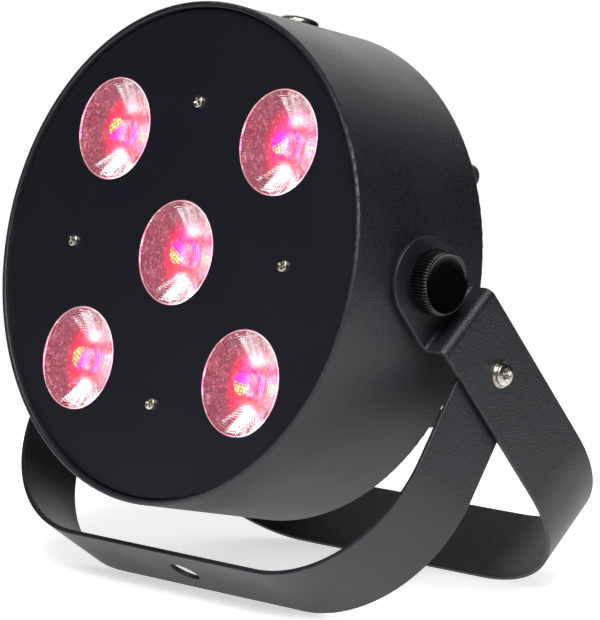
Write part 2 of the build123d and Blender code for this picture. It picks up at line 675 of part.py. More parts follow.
def main():
    build_head()
    build_yokes()
    pivot = stand_on_floor()
    print("tilt pivot at", [round(value, 4) for value in pivot], "stand angle", round(stand_angle(), 4))
    os.makedirs("parts", exist_ok=True)
    for name, solids in PIECES.items():
        shape = solids[0] if len(solids) == 1 else Compound(solids)
        export_step(shape, f"parts/{name}.step")


main()
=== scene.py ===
"""Builds the looks of a five-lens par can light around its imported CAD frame."""

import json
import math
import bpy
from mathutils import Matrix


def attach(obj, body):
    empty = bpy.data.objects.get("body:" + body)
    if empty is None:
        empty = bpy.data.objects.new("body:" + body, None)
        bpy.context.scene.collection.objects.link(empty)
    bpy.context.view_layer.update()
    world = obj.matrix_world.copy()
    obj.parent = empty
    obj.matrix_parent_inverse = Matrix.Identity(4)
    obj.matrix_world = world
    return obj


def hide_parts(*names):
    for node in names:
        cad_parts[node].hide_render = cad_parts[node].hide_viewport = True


bl_info = {
    "name": "Five Lens Par Light",
    "version": (1, 0, 0),
    "blender": (4, 5, 0),
    "location": "View3D > Sidebar > Par Light",
    "description": "Builds the visible pieces, finishes and stage of a five-lens par can light",
    "category": "Object",
}

import bmesh
import bpy
from bpy.props import FloatProperty, FloatVectorProperty, IntProperty, PointerProperty
from bpy.types import Operator, Panel, PropertyGroup
from mathutils import Matrix, Quaternion, Vector

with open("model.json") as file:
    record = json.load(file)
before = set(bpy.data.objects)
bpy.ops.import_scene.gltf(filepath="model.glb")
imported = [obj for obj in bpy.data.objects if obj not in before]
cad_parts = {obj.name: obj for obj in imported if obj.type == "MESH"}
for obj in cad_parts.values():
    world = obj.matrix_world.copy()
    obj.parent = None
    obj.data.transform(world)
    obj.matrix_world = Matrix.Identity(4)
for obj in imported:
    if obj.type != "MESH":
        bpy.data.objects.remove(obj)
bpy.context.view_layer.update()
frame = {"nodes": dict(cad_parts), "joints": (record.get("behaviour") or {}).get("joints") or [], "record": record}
HEAD = "head"
LENSES = ("centre", "top_left", "top_right", "bottom_left", "bottom_right")
JOINTS = {joint["name"]: joint for joint in frame["joints"]}
SLOTS = [entry["slot"] for entry in frame["record"]["materials"]]


# ---- settings --------------------------------------------------------------------------------
def length_setting(name, description, metres):
    return FloatProperty(name=name, description=description, default=metres, unit="LENGTH")


def angle_setting(name, description, degrees):
    return FloatProperty(name=name, description=description, default=math.radians(degrees), unit="ROTATION")


def power_setting(name, description, watts):
    return FloatProperty(name=name, description=description, default=watts, unit="POWER")


def colour_setting(name, description, red, green, blue):
    return FloatVectorProperty(name=name, description=description, subtype="COLOR", size=4, min=0, max=1,
                               default=(red, green, blue, 1))


class ParLightSizes(PropertyGroup):
    """Angles and small shapes that the CAD boxes don't give."""

    head_tilt: angle_setting("Head tilt", "Face-up tilt of the head at rest", 11.2)
    pivot_depth: length_setting("Pivot depth", "From the rim plane back to the tilt pivot", 0.036)
    pivot_rise: length_setting("Pivot rise", "Tilt pivot above the drum's centre line", 0.0024)
    main_angle: angle_setting("Main yoke angle", "Backward swing of the main yoke from straight down", 41.2)
    stand_angle: angle_setting("Stand yoke angle", "Forward swing of the stand yoke from straight down",
                               33.5073)
    sheet: length_setting("Sheet", "Thickness of the yokes' plate", 0.002)
    sheet_edge: length_setting("Sheet edge", "Rounding of the painted plate's edges", 0.00045)
    ear_outer: length_setting("Ear face", "Outer face of the main yoke's ears from the middle", 0.10345)
    step_down: length_setting("Step", "From the tilt pivot down to the middle of the step", 0.0205)
    step_bend: length_setting("Step bend", "Bend radius of the step", 0.0025)
    main_bend: length_setting("Main bend", "Bend radius of the main yoke's corners", 0.0605)
    stand_bend: length_setting("Stand bend", "Bend radius of the stand yoke's corners", 0.0565)
    stand_pivot_down: length_setting("Stand pivot", "From the tilt pivot down the arm to the stand's screws",
                                     0.0493)
    pivot_hole: length_setting("Pivot hole", "Radius of the hole for the knob's stud", 0.00405)
    screw_hole: length_setting("Screw hole", "Radius of the hole for the stand's screw", 0.0025)
    clamp_hole: length_setting("Clamp hole", "Radius of the hole in each strap", 0.0065)
    knob_ridges: IntProperty(name="Knob ridges", description="Ridges round a knob", default=60)
    ridge_depth: length_setting("Ridge depth", "Depth of the knob's grooves", 0.00062)
    lens_rings: IntProperty(name="Lens rings", description="Rings of pillows on a lens face", default=20)
    lens_sectors: IntProperty(name="Lens sectors", description="Pillows in each ring of a lens face",
                              default=72)
    pillow_height: length_setting("Pillow height", "Height of the pillows on a lens face", 0.00014)


class ParLightColours(PropertyGroup):
    """Colours that a user would change."""

    paint: colour_setting("Paint", "Powder coat of the drum and the yokes", 0.0050, 0.0058, 0.0080)
    paint_light: colour_setting("Paint grain", "Raised grain of the powder coat", 0.0150, 0.0170, 0.0215)
    panel: colour_setting("Panel", "Lacquer of the front panel", 0.0062, 0.0065, 0.0112)
    glow: colour_setting("Glow", "Light that the optics scatter", 0.72, 0.17, 0.25)
    glow_deep: colour_setting("Deep glow", "Darker parts of the scattered light", 0.17, 0.022, 0.050)
    dice_warm: colour_setting("Warm dice", "Amber light of the LED dice", 1.0, 0.30, 0.05)
    dice_cool: colour_setting("Magenta dice", "Magenta light of the LED dice", 1.0, 0.03, 0.30)


class ParLightStage(PropertyGroup):
    """Camera, lights and floor."""

    azimuth: angle_setting("Azimuth", "Camera's turn round the light", 44.667)
    elevation: angle_setting("Elevation", "Camera's height above the horizon", 6.652)
    roll: angle_setting("Roll", "Camera's turn about its own axis", 1.154)
    distance: length_setting("Distance", "From the aim to the camera", 1.3085)
    focal: FloatProperty(name="Focal length", description="In millimetres", default=193.6)
    aim: FloatVectorProperty(
        name="Aim", description="From the middle of the drum's rim to the aim",
        subtype="TRANSLATION", size=3, default=(0.03812, 0.03412, -0.02177))
    key_light: power_setting("Key light",
                             "Power of the softbox above the camera, which the lenses don't pass", 30.0)
    glass_light: power_setting("Glass light", "Power of the softbox beside the key, which the lenses pass",
                               24.0)
    back_light: power_setting("Back light", "Power of the wide low softbox behind", 10.0)
    hair_light: power_setting("Hair light", "Power of the high softbox behind", 3.6)
    fill_light: power_setting("Fill light", "Power of the small softbox on the left", 2.5)
    rear_light: power_setting("Rear light", "Power of the softbox facing the rear cover", 2.2)
    floor_glow: FloatProperty(name="Floor glow", description="Light that the paper passes from below",
                              default=0.56)
    floor_tone: FloatProperty(name="Floor tone", description="Reflectance of the floor", default=0.86)


def sizes():
    return bpy.context.scene.par_light_sizes


def colours():
    return bpy.context.scene.par_light_colours


# ---- places ----------------------------------------------------------------------------------
def head_place():
    """The head's own frame: the rim plane is at y = 0 and +y points to the rear."""
    s = sizes()
    pivot = Matrix.Translation(JOINTS["head_tilt"]["pos_m"])
    tilt = Matrix.Rotation(-s.head_tilt, 4, "X")
    return pivot @ tilt @ Matrix.Translation((0, -s.pivot_depth, -s.pivot_rise))


def main_place():
    """The main yoke hanging down from the tilt pivot."""
    return Matrix.Translation(JOINTS["head_tilt"]["pos_m"]) @ Matrix.Rotation(sizes().main_angle, 4, "X")


def stand_place():
    """The stand yoke hanging down from its screws."""
    return Matrix.Translation(JOINTS["stand_swing"]["pos_m"]) @ Matrix.Rotation(-sizes().stand_angle, 4, "X")


def outwards(side):
    """Turns +y to point out along +x or -x."""
    return Matrix.Rotation(-side * math.pi / 2, 4, "Z")


def points_in(node, place):
    back = place.inverted()
    return [back @ vertex.co for vertex in frame["nodes"][node].data.vertices]


def box_of(points):
    low = Vector(min(point[axis] for point in points) for axis in range(3))
    high = Vector(max(point[axis] for point in points) for axis in range(3))
    return low, high


def local_box(node, place):
    """A CAD node's box in another frame."""
    return box_of(points_in(node, place))


def middle_of(low, high, depth=0.0):
    """The middle of a box in x and z, at a depth along y."""
    return Vector(((low.x + high.x) / 2, depth, (low.z + high.z) / 2))


def solid_boxes(node, place, reach):
    """Boxes of a node's separate solids, each smaller than reach."""
    groups = []
    for point in points_in(node, place):
        for group in groups:
            if (point - group[0]).length < reach:
                group.append(point)
                break
        else:
            groups.append([point])
    return [box_of(group) for group in groups]


# ---- shapes: each is a list of points and a list of faces ----------------------------------------
def joined(shapes):
    """One shape from (shape, matrix) pairs."""
    points, faces = [], []
    for (own_points, own_faces), matrix in shapes:
        start = len(points)
        points += [matrix @ Vector(point) for point in own_points]
        faces += [[start + index for index in face] for face in own_faces]
    return points, faces


def grid(rows, wrap=False):
    """A surface through rows of points; wrap joins each row's ends."""
    wide = len(rows[0])
    points = [point for row in rows for point in row]
    faces = []
    for row in range(len(rows) - 1):
        for column in range(wide if wrap else wide - 1):
            after = (column + 1) % wide
            a, b = row * wide, (row + 1) * wide
            faces.append([a + column, a + after, b + after, b + column])
    return points, faces


def even_angles(count):
    return [math.tau * number / count for number in range(count)]


def circle(_):
    return 1.0


def hexagon(angle):
    return 1.0 / math.cos((angle + math.pi / 6) % (math.pi / 3) - math.pi / 6)


CROSS_ARM = 0.27


def cross(angle):
    """Outline of a cross whose arms are 1 long."""
    turn = abs((angle + math.pi / 4) % (math.pi / 2) - math.pi / 4)
    return 1.0 / math.cos(turn) if math.tan(turn) < CROSS_ARM else CROSS_ARM / math.sin(turn)


def cross_angles(count):
    corner = math.atan(CROSS_ARM)
    extra = []
    for arm in range(4):
        middle = arm * math.pi / 2
        extra += [middle - corner, middle + corner, middle + math.pi / 4]
        extra += [middle - corner * 1.12, middle + corner * 1.12]
    return sorted({round(angle % math.tau, 5) for angle in even_angles(count) + extra})


def turned(stations, angles=None, lift=None):
    """A shape turned about y through (radius, y, outline) stations; lift(radius, angle) raises its face."""
    angles = angles or even_angles(64)
    points, faces, rings = [], [], []
    for radius, depth, *outline in stations:
        form = outline[0] if outline else circle
        start = len(points)
        if radius < 1e-7:
            points.append((0, depth, 0))
            rings.append([start])
            continue
        for angle in angles:
            reach = radius * form(angle)
            rise = lift(reach, angle, depth) if lift else 0
            points.append((reach * math.cos(angle), depth + rise, reach * math.sin(angle)))
        rings.append(list(range(start, len(points))))
    count = len(angles)
    for first, second in zip(rings, rings[1:]):
        for number in range(count):
            after = (number + 1) % count
            if len(first) == 1:
                faces.append([first[0], second[after], second[number]])
            elif len(second) == 1:
                faces.append([first[number], first[after], second[0]])
            else:
                faces.append([first[number], first[after], second[after], second[number]])
    return points, faces


def softened(corners, steps=4):
    """Stations from (radius, y, rounding) corners: each corner is cut back by its rounding and curved."""
    stations = []
    last = len(corners) - 1
    for number, (radius, depth, soft) in enumerate(corners):
        here = Vector((radius, depth))
        if soft == 0 or number in (0, last):
            stations.append((radius, depth))
            continue
        before = (Vector(corners[number - 1][:2]) - here).normalized() * soft
        after = (Vector(corners[number + 1][:2]) - here).normalized() * soft
        for step in range(steps + 1):
            t = step / steps
            point = here + before * (1 - t) ** 2 + after * t ** 2
            stations.append((point.x, point.y))
    return stations


def soft_box(low, high, edge, steps=2):
    """A box with rounded edges."""
    bm = bmesh.new()
    bmesh.ops.create_cube(bm, size=1)
    low, high = Vector(low), Vector(high)
    for vertex in bm.verts:
        vertex.co = Vector(low[a] + (vertex.co[a] + 0.5) * (high[a] - low[a]) for a in range(3))
    if edge:
        bmesh.ops.bevel(bm, geom=bm.edges[:], offset=edge, segments=steps, affect="EDGES", profile=0.5)
    bm.verts.index_update()
    shape = [vertex.co.copy() for vertex in bm.verts], [[v.index for v in face.verts] for face in bm.faces]
    bm.free()
    return shape


def prism(outline, low, high, edge):
    """A flat outline in x and z, made thick along y, with a small bevel on its front."""
    middle = sum((Vector(point) for point in outline), Vector((0, 0))) / len(outline)
    inner = []
    for point in outline:
        offset = Vector(point) - middle
        inner.append(middle + offset * max(0.0, 1 - edge / offset.length))
    rings = [[(x, high, z) for x, z in outline], [(x, low + edge, z) for x, z in outline],
             [(p.x, low, p.y) for p in inner]]
    points, faces = grid(rings, wrap=True)
    count = len(outline)
    faces += [list(range(count)), list(range(2 * count, 3 * count))]
    return points, faces


def mesh_of(name, shape, weld=0.0):
    mesh = bpy.data.meshes.new(name)
    mesh.from_pydata([tuple(point) for point in shape[0]], [], shape[1])
    bm = bmesh.new()
    bm.from_mesh(mesh)
    if weld:
        bmesh.ops.remove_doubles(bm, verts=bm.verts[:], dist=weld)
    bmesh.ops.recalc_face_normals(bm, faces=bm.faces[:])
    bm.to_mesh(mesh)
    bm.free()
    return mesh


def add_piece(name, shape, place, body, slot, *nodes, sharp=38, weld=0.0, weighted=False, look=None):
    """Adds a finished piece that rides on a body and stands for CAD nodes."""
    mesh = mesh_of(name, shape, weld)
    for face in mesh.polygons:
        face.use_smooth = True
    mesh.set_sharp_from_angle(angle=math.radians(sharp))
    mesh.materials.append(finish(look or slot))
    obj = bpy.data.objects.new(name, mesh)
    bpy.context.scene.collection.objects.link(obj)
    obj.matrix_world = place
    if weighted:
        even = obj.modifiers.new("Even shading", "WEIGHTED_NORMAL")
        even.keep_sharp = True
        even.weight = 80
    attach(obj, body)
    if nodes:
        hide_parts(*nodes)
    return obj


# ---- folded plate ------------------------------------------------------------------------------
class BentLine:
    """A line in x and z with rounded corners, measured along its length."""

    def __init__(self, corners, bends):
        self.parts, self.length = [], 0.0
        start = Vector(corners[0])
        for number, bend in enumerate(bends, 1):
            before, here, after = (Vector(corners[number + step]) for step in (-1, 0, 1))
            go, leave = (here - before).normalized(), (after - here).normalized()
            turn = math.atan2(go.x * leave.y - go.y * leave.x, go.dot(leave))
            cut = bend * math.tan(abs(turn) / 2)
            enter = here - go * cut
            self._add((enter - start).length, start, go, 0.0)
            self._add(bend * abs(turn), enter, go, turn / (bend * abs(turn)))
            start = here + leave * cut
        end = Vector(corners[-1])
        self._add((end - start).length, start, (end - start).normalized(), 0.0)

    def _add(self, length, start, direction, curve):
        self.parts.append((self.length, length, start, direction, curve))
        self.length += length

    def at(self, distance):
        """The point and the left-hand normal at a distance from the start."""
        for begin, length, start, go, curve in self.parts:
            if distance <= begin + length + 1e-9:
                break
        run = distance - begin
        if curve == 0:
            return start + go * run, Vector((-go.y, go.x))
        turn = curve * run
        heading = Vector((go.x * math.cos(turn) - go.y * math.sin(turn),
                          go.x * math.sin(turn) + go.y * math.cos(turn)))
        side, new_side = Vector((-go.y, go.x)), Vector((-heading.y, heading.x))
        return start + (side - new_side) / curve, new_side

    def stops(self, low, high, arc=math.radians(3.0)):
        """Distances at which a surface between low and high needs a row."""
        found = {low, high}
        for begin, length, _, _, curve in self.parts:
            count = max(1, math.ceil(abs(curve) * length / arc))
            for number in range(count + 1):
                stop = begin + length * number / count
                if low + 1e-6 < stop < high - 1e-6:
                    found.add(stop)
        return sorted(found)

    def down_from_start(self, drop):
        """The distance at which the line has first come down by drop."""
        top = self.at(0)[0].y
        low, high = 0.0, self.length / 2
        for _ in range(50):
            middle = (low + high) / 2
            if top - self.at(middle)[0].y < drop:
                low = middle
            else:
                high = middle
        return low


COLUMNS = 12  # quads across the plate


def folded_plate(line, half, thick, edge, holes):
    """A plate of even width folded along a line, with round ends, round holes and rounded edges."""
    inner = half - edge
    across = [inner * (2 * number / COLUMNS - 1) for number in range(COLUMNS + 1)]
    quarter = [math.radians(angle) for angle in (0, 30, 60, 90)]
    rim = [(edge * math.sin(a), thick / 2 - edge * (1 - math.cos(a))) for a in quarter]
    rim += [(out, -level) for out, level in reversed(rim)]
    shapes = []

    def folded(distance, side, level):
        point, normal = line.at(min(max(distance, 0.0), line.length))
        return (point.x + normal.x * level, side, point.y + normal.y * level)

    def surfaces(rows, wrap=False):
        for level in (thick / 2, -thick / 2):
            shapes.append(grid([[folded(s, t, level) for s, t in row] for row in rows], wrap))

    def edges(border, wrap=False):
        rows = [[folded(s + a * out, t + b * out, level) for s, t, a, b in border] for out, level in rim]
        shapes.append(grid(rows, wrap))

    def plain(low, high):
        stops = line.stops(low, high)
        surfaces([[(s, t) for t in across] for s in stops])
        for side in (-1, 1):
            edges([(s, side * inner, 0, side) for s in stops])

    def holed(at, radius, end):
        """A square cell round a hole; end is -1 or 1 where the plate's round end takes one side."""
        flip = -1 if end > 0 else 1
        reach = [value for value in across if end == 0 or value >= 0]
        first = [(value, -inner, 0, -1) for value in reach]
        second = [(inner, value, None, None) for value in across[1:-1]]
        third = [(value, inner, 0, 1) for value in reversed(reach)]
        if end:
            fourth = []
            for number in range(1, 2 * COLUMNS):
                angle = math.pi / 2 + math.pi * number / (2 * COLUMNS)
                a, b = math.cos(angle), math.sin(angle)
                fourth.append((inner * a, inner * b, a, b))
        else:
            fourth = [(-inner, value, None, None) for value in reversed(across[1:-1])]
        border = first + second + third + fourth
        turns = [math.atan2(t, s) for s, t, _, _ in border]
        rows = []
        for share in (0, 0.12, 0.45, 1):
            row = []
            for (s, t, _, _), turn in zip(border, turns):
                a, b = (radius + edge) * math.cos(turn), (radius + edge) * math.sin(turn)
                row.append((at + flip * (a + (s - a) * share), b + (t - b) * share))
            rows.append(row)
        surfaces(rows, wrap=True)
        ring = radius + edge
        edges([(at + flip * ring * math.cos(t), ring * math.sin(t), -flip * math.cos(t), -math.sin(t))
               for t in turns], wrap=True)
        placed = [(at + flip * s, t, None if a is None else flip * a, b) for s, t, a, b in border]
        if end:
            start = len(first) + len(second)
            edges(placed[start:] + placed[:len(first)])
        else:
            edges(placed[:len(first)])
            start = len(first) + len(second)
            edges(placed[start:start + len(third)])

    done = None
    for number, (at, radius) in enumerate(holes):
        if number:
            plain(done, at - inner)
        holed(at, radius, -1 if number == 0 else 1 if number == len(holes) - 1 else 0)
        done = at + inner
    return joined([(shape, Matrix.Identity(4)) for shape in shapes])


# ---- node groups and finishes --------------------------------------------------------------------
def add_node(tree, kind, settings=None, inputs=None):
    node = tree.nodes.new(kind)
    for key, value in (settings or {}).items():
        setattr(node, key, value)
    for key, value in (inputs or {}).items():
        if isinstance(value, bpy.types.NodeSocket):
            tree.links.new(value, node.inputs[key])
        else:
            node.inputs[key].default_value = value
    return node


def calc(tree, operation, *values, clamp=False):
    node = add_node(tree, "ShaderNodeMath", {"operation": operation, "use_clamp": clamp})
    for number, value in enumerate(values):
        if isinstance(value, bpy.types.NodeSocket):
            tree.links.new(value, node.inputs[number])
        else:
            node.inputs[number].default_value = value
    return node.outputs[0]


def span(tree, value, low, high, new_low=0.0, new_high=1.0):
    """A value's range moved to another range and clamped there."""
    return add_node(tree, "ShaderNodeMapRange", {"clamp": True, "interpolation_type": "SMOOTHSTEP"}, {
        "Value": value, "From Min": low, "From Max": high, "To Min": new_low, "To Max": new_high,
    }).outputs["Result"]


def blend_colours(tree, share, first, second, blend="MIX"):
    node = add_node(tree, "ShaderNodeMix", {"data_type": "RGBA", "blend_type": blend})
    for key, value in ((0, share), (6, first), (7, second)):
        if isinstance(value, bpy.types.NodeSocket):
            tree.links.new(value, node.inputs[key])
        else:
            node.inputs[key].default_value = value
    return node.outputs[2]


def noise(tree, where, scale, detail=2.0, rough=0.5):
    return add_node(tree, "ShaderNodeTexNoise", {"noise_dimensions": "3D"}, {
        "Vector": where, "Scale": scale, "Detail": detail, "Roughness": rough}).outputs["Fac"]


def own_coordinates(tree):
    return add_node(tree, "ShaderNodeTexCoord").outputs["Object"]


def effect(name, inputs, outputs):
    """A shader node group with named sockets, and its inner ends."""
    tree = bpy.data.node_groups.new(name, "ShaderNodeTree")
    for label, default in inputs:
        kind = "NodeSocketColor" if isinstance(default, tuple) else "NodeSocketFloat"
        tree.interface.new_socket(label, in_out="INPUT", socket_type=kind).default_value = default
    for label, kind in outputs:
        tree.interface.new_socket(label, in_out="OUTPUT", socket_type=kind)
    return tree, tree.nodes.new("NodeGroupInput").outputs, tree.nodes.new("NodeGroupOutput")


COLOUR, VALUE = "NodeSocketColor", "NodeSocketFloat"
SURFACE = (("Color", COLOUR), ("Roughness", VALUE), ("Height", VALUE))


def put_out(tree, end, **sockets):
    for label, socket in sockets.items():
        tree.links.new(socket, end.inputs[label])


def build_moulded_grain():
    """Fine grain with broad soft variation, for powder coat, lacquer and moulded plastic."""
    tree, given, end = effect("Moulded Grain", [
        ("Color", (0.02, 0.02, 0.02, 1)), ("Grain Color", (0.03, 0.03, 0.03, 1)), ("Grain per Metre", 1500.0),
        ("Roughness", 0.5), ("Spread", 0.1)], SURFACE)
    where = own_coordinates(tree)
    fine = noise(tree, where, given["Grain per Metre"], 1.5, 0.55)
    cells = add_node(tree, "ShaderNodeTexVoronoi", {"feature": "SMOOTH_F1"}, {
        "Vector": where, "Scale": given["Grain per Metre"], "Smoothness": 0.6}).outputs["Distance"]
    broad = noise(tree, where, 38.0, 3.0, 0.55)
    bumps = calc(tree, "SUBTRACT", calc(tree, "MULTIPLY", fine, 1.3), calc(tree, "MULTIPLY", cells, 0.55))
    share = calc(tree, "ADD", span(tree, bumps, 0.2, 0.62, 0.0, 0.75), span(tree, broad, 0.3, 0.7, 0.0, 0.25))
    tone = blend_colours(tree, share, given["Color"], given["Grain Color"])
    wobble = calc(tree, "SUBTRACT", calc(tree, "ADD", calc(tree, "MULTIPLY", fine, 0.5),
                                         calc(tree, "MULTIPLY", broad, 0.5)), 0.5)
    rough = calc(tree, "ADD", given["Roughness"], calc(tree, "MULTIPLY", wobble, given["Spread"]), clamp=True)
    put_out(tree, end, Color=tone, Roughness=rough, Height=bumps)
    return tree


def build_worked_metal():
    """Tool streaks and faint tarnish, for plated, rolled and extruded metal."""
    tree, given, end = effect("Worked Metal", [
        ("Color", (0.6, 0.6, 0.6, 1)), ("Tarnish", (0.4, 0.4, 0.4, 1)), ("Streaks per Metre", 2500.0),
        ("Roughness", 0.3), ("Spread", 0.2)], SURFACE)
    where = own_coordinates(tree)
    stretched = add_node(tree, "ShaderNodeMapping", None, {
        "Vector": where, "Scale": (1.0, 0.12, 1.0)}).outputs["Vector"]
    streaks = noise(tree, stretched, given["Streaks per Metre"], 2.0, 0.6)
    patches = noise(tree, where, 420.0, 3.0, 0.6)
    tone = blend_colours(tree, span(tree, patches, 0.42, 0.75), given["Color"], given["Tarnish"])
    wobble = calc(tree, "SUBTRACT", calc(tree, "ADD", calc(tree, "MULTIPLY", streaks, 0.6),
                                         calc(tree, "MULTIPLY", patches, 0.4)), 0.5)
    rough = calc(tree, "ADD", given["Roughness"], calc(tree, "MULTIPLY", wobble, given["Spread"]), clamp=True)
    put_out(tree, end, Color=tone, Roughness=rough, Height=streaks)
    return tree


BAND_GLOW = (7.0, 4.4, 4.8, 1)  # the palest band of painted LED light round the LED's well
RIM_GLOW = (3.0, 1.9, 2.1, 1)  # painted highlight on the lens's rim


def build_optic_glow():
    """Rings, spokes and sparkle about a lens axis: painted light that stands for the LED light scattered inside
    the optics, with painted glints, a painted image of the dice in the core, painted bands in the LED's well and a
    painted highlight on the rim.
    """
    tree, given, end = effect("Optic Glow", [
        ("Deep", (0.3, 0.05, 0.1, 1)), ("Bright", (1.0, 0.5, 0.6, 1)), ("Rings per Metre", 700.0),
        ("Spokes", 54.0), ("Sparkle", 0.5), ("Low", 0.3), ("High", 0.8), ("Core", (1.0, 0.3, 0.05, 1)),
        ("Second Core", (0.9, 0.02, 0.5, 1)), ("Core Radius", -0.1), ("Core Depth", 1.0),
        ("Halo", (1.0, 0.03, 0.12, 1)), ("Halo Radius", -0.1), ("Fade", 0.003), ("Well Radius", -0.1),
        ("Well Depth", 0.0), ("Rim Radius", 1.0), ("Rim Depth", -1.0)],
        (("Color", COLOUR), ("Mask", VALUE), ("Height", VALUE)))
    where = own_coordinates(tree)
    parts = add_node(tree, "ShaderNodeSeparateXYZ", None, {"Vector": where}).outputs
    radius = calc(tree, "SQRT", calc(tree, "ADD", calc(tree, "MULTIPLY", parts[0], parts[0]),
                                     calc(tree, "MULTIPLY", parts[2], parts[2])))
    angle = calc(tree, "ARCTAN2", parts[2], parts[0])
    turns = calc(tree, "MULTIPLY", radius, given["Rings per Metre"])
    rings = calc(tree, "SINE", calc(tree, "MULTIPLY", turns, math.tau))
    spokes = calc(tree, "SINE", calc(tree, "MULTIPLY", angle, given["Spokes"]))
    lattice = calc(tree, "MULTIPLY_ADD", calc(tree, "ADD", rings, spokes), 0.18, 0.42)
    patches = noise(tree, where, 170.0, 3.0, 0.65)
    # Painted glints: small bright specks of emission.
    glints = span(tree, noise(tree, where, 900.0, 1.0, 0.5), 0.56, 0.74)
    mask = calc(tree, "ADD", calc(tree, "MULTIPLY", lattice, calc(tree, "ADD", patches, 0.45)),
                calc(tree, "MULTIPLY", calc(tree, "MULTIPLY", glints, given["Sparkle"]), patches))
    share = add_node(tree, "ShaderNodeMapRange", {"clamp": True}, {
        "Value": mask, "From Min": given["Low"], "From Max": given["High"]}).outputs["Result"]
    tone = blend_colours(tree, share, given["Deep"], given["Bright"])
    # The core: a painted image of the lit dice, as dots of emission.
    dots = add_node(tree, "ShaderNodeTexVoronoi", {"feature": "F1"}, {
        "Vector": where, "Scale": 620.0, "Randomness": 0.35}).outputs["Distance"]
    lit = calc(tree, "ADD", calc(tree, "MULTIPLY", span(tree, dots, 0.55, 0.2), 1.5), 0.16)
    around = calc(tree, "SINE", angle)
    uneven = calc(tree, "MULTIPLY", patches, 0.8)
    sector = span(tree, calc(tree, "ADD", around, uneven), 0.3, 0.55)
    core = blend_colours(tree, sector, given["Core"], given["Second Core"])
    core = add_node(tree, "ShaderNodeVectorMath", {"operation": "SCALE"}, {0: core, "Scale": lit}).outputs[0]
    # Painted bands of LED light along the wall of the well over the LED.
    along = calc(tree, "DIVIDE", calc(tree, "SUBTRACT", parts[1], given["Well Depth"]), WELL_DEPTH)
    bands = (1.1, 0.02, 0.30, 1)
    for start, stop, colour in ((0.26, 0.30, given["Second Core"]), (0.46, 0.52, BAND_GLOW),
                                (0.66, 0.72, given["Halo"])):
        bands = blend_colours(tree, span(tree, along, start, stop), bands, colour)
    for inner, edge, hidden in (
            (given["Halo"], "Halo Radius", 0.0), (core, "Core Radius", ("GREATER_THAN", "Core Depth")),
            (bands, "Well Radius", ("LESS_THAN", "Well Depth"))):
        far = calc(tree, "DIVIDE", calc(tree, "SUBTRACT", radius, given[edge]), given["Fade"], clamp=True)
        if hidden:
            far = calc(tree, "MAXIMUM", far, calc(tree, hidden[0], parts[1], given[hidden[1]]))
        tone = blend_colours(tree, far, inner, tone)
    # A painted highlight round the front rim.
    rim = calc(tree, "MULTIPLY", calc(tree, "GREATER_THAN", radius, given["Rim Radius"]),
               calc(tree, "LESS_THAN", parts[1], given["Rim Depth"]))
    tone = blend_colours(tree, rim, tone, RIM_GLOW)
    put_out(tree, end, Color=tone, Mask=share, Height=lattice)
    return tree


def build_board_pattern():
    """Copper runs and pads under a solder mask."""
    tree, given, end = effect("Board Pattern", [
        ("Mask Color", (0.01, 0.10, 0.04, 1)), ("Run Color", (0.03, 0.2, 0.08, 1)),
        ("Pad Color", (0.6, 0.5, 0.3, 1)), ("Runs per Metre", 260.0), ("Roughness", 0.35)], SURFACE)
    where = own_coordinates(tree)
    flat = add_node(tree, "ShaderNodeMapping", None, {
        "Vector": where, "Rotation": (math.pi / 2, 0, 0)}).outputs["Vector"]
    bricks = add_node(tree, "ShaderNodeTexBrick", {"offset": 0.37, "squash": 1.0}, {
        "Vector": flat, "Scale": given["Runs per Metre"], "Mortar Size": 0.09, "Mortar Smooth": 0.1,
        "Brick Width": 1.7, "Row Height": 0.42}).outputs["Fac"]
    dots = add_node(tree, "ShaderNodeTexVoronoi", {"feature": "F1"}, {
        "Vector": flat, "Scale": given["Runs per Metre"], "Randomness": 0.7}).outputs["Distance"]
    pads = span(tree, dots, 0.17, 0.14)
    tone = blend_colours(tree, bricks, given["Mask Color"], given["Run Color"])
    tone = blend_colours(tree, pads, tone, given["Pad Color"])
    rough = calc(tree, "ADD", given["Roughness"], calc(tree, "MULTIPLY", pads, 0.1))
    put_out(tree, end, Color=tone, Roughness=rough, Height=calc(tree, "ADD", bricks, pads))
    return tree


GROUPS = {"grain": build_moulded_grain, "metal": build_worked_metal, "glow": build_optic_glow,
          "board": build_board_pattern}


def group(kind):
    label = "Par Light " + kind
    tree = bpy.data.node_groups.get(label)
    if tree is None:
        tree = GROUPS[kind]()
        tree.name = label
    return tree


def blank_tree(owner):
    """The emptied node tree of a material or a world."""
    owner.use_nodes = True
    owner.node_tree.nodes.clear()
    return owner.node_tree


def patterned(name, kind, values, shader, feeds, bump, distance):
    """A material whose group feeds some of the shader's sockets and its bump; the rest are plain values."""
    material = bpy.data.materials.new(name)
    tree = blank_tree(material)
    pattern = add_node(tree, "ShaderNodeGroup", {"node_tree": group(kind)})
    for key, value in values.items():
        pattern.inputs[key].default_value = value
    principled = add_node(tree, "ShaderNodeBsdfPrincipled", None, shader)
    for label, socket in feeds.items():
        tree.links.new(pattern.outputs[label], principled.inputs[socket])
    if bump:
        height = add_node(tree, "ShaderNodeBump", None, {
            "Strength": bump, "Distance": distance, "Height": pattern.outputs["Height"]})
        tree.links.new(height.outputs["Normal"], principled.inputs["Normal"])
    end = add_node(tree, "ShaderNodeOutputMaterial")
    tree.links.new(principled.outputs["BSDF"], end.inputs["Surface"])
    return material


def surface(name, kind, values, shader, bump, distance):
    """A finish whose pattern is in its colour and its roughness."""
    feeds = {"Color": "Base Color", "Roughness": "Roughness"}
    return patterned(name, kind, values, shader, feeds, bump, distance)


def glowing(name, values, strength, shader, bump=0.0, distance=0.0001):
    """A finish that gives off the pattern of scattered light."""
    shader = {**shader, "Emission Strength": strength}
    return patterned(name, "glow", values, shader, {"Color": "Emission Color"}, bump, distance)


def grey(value, blue=1.0):
    return (value, value, value * blue, 1)


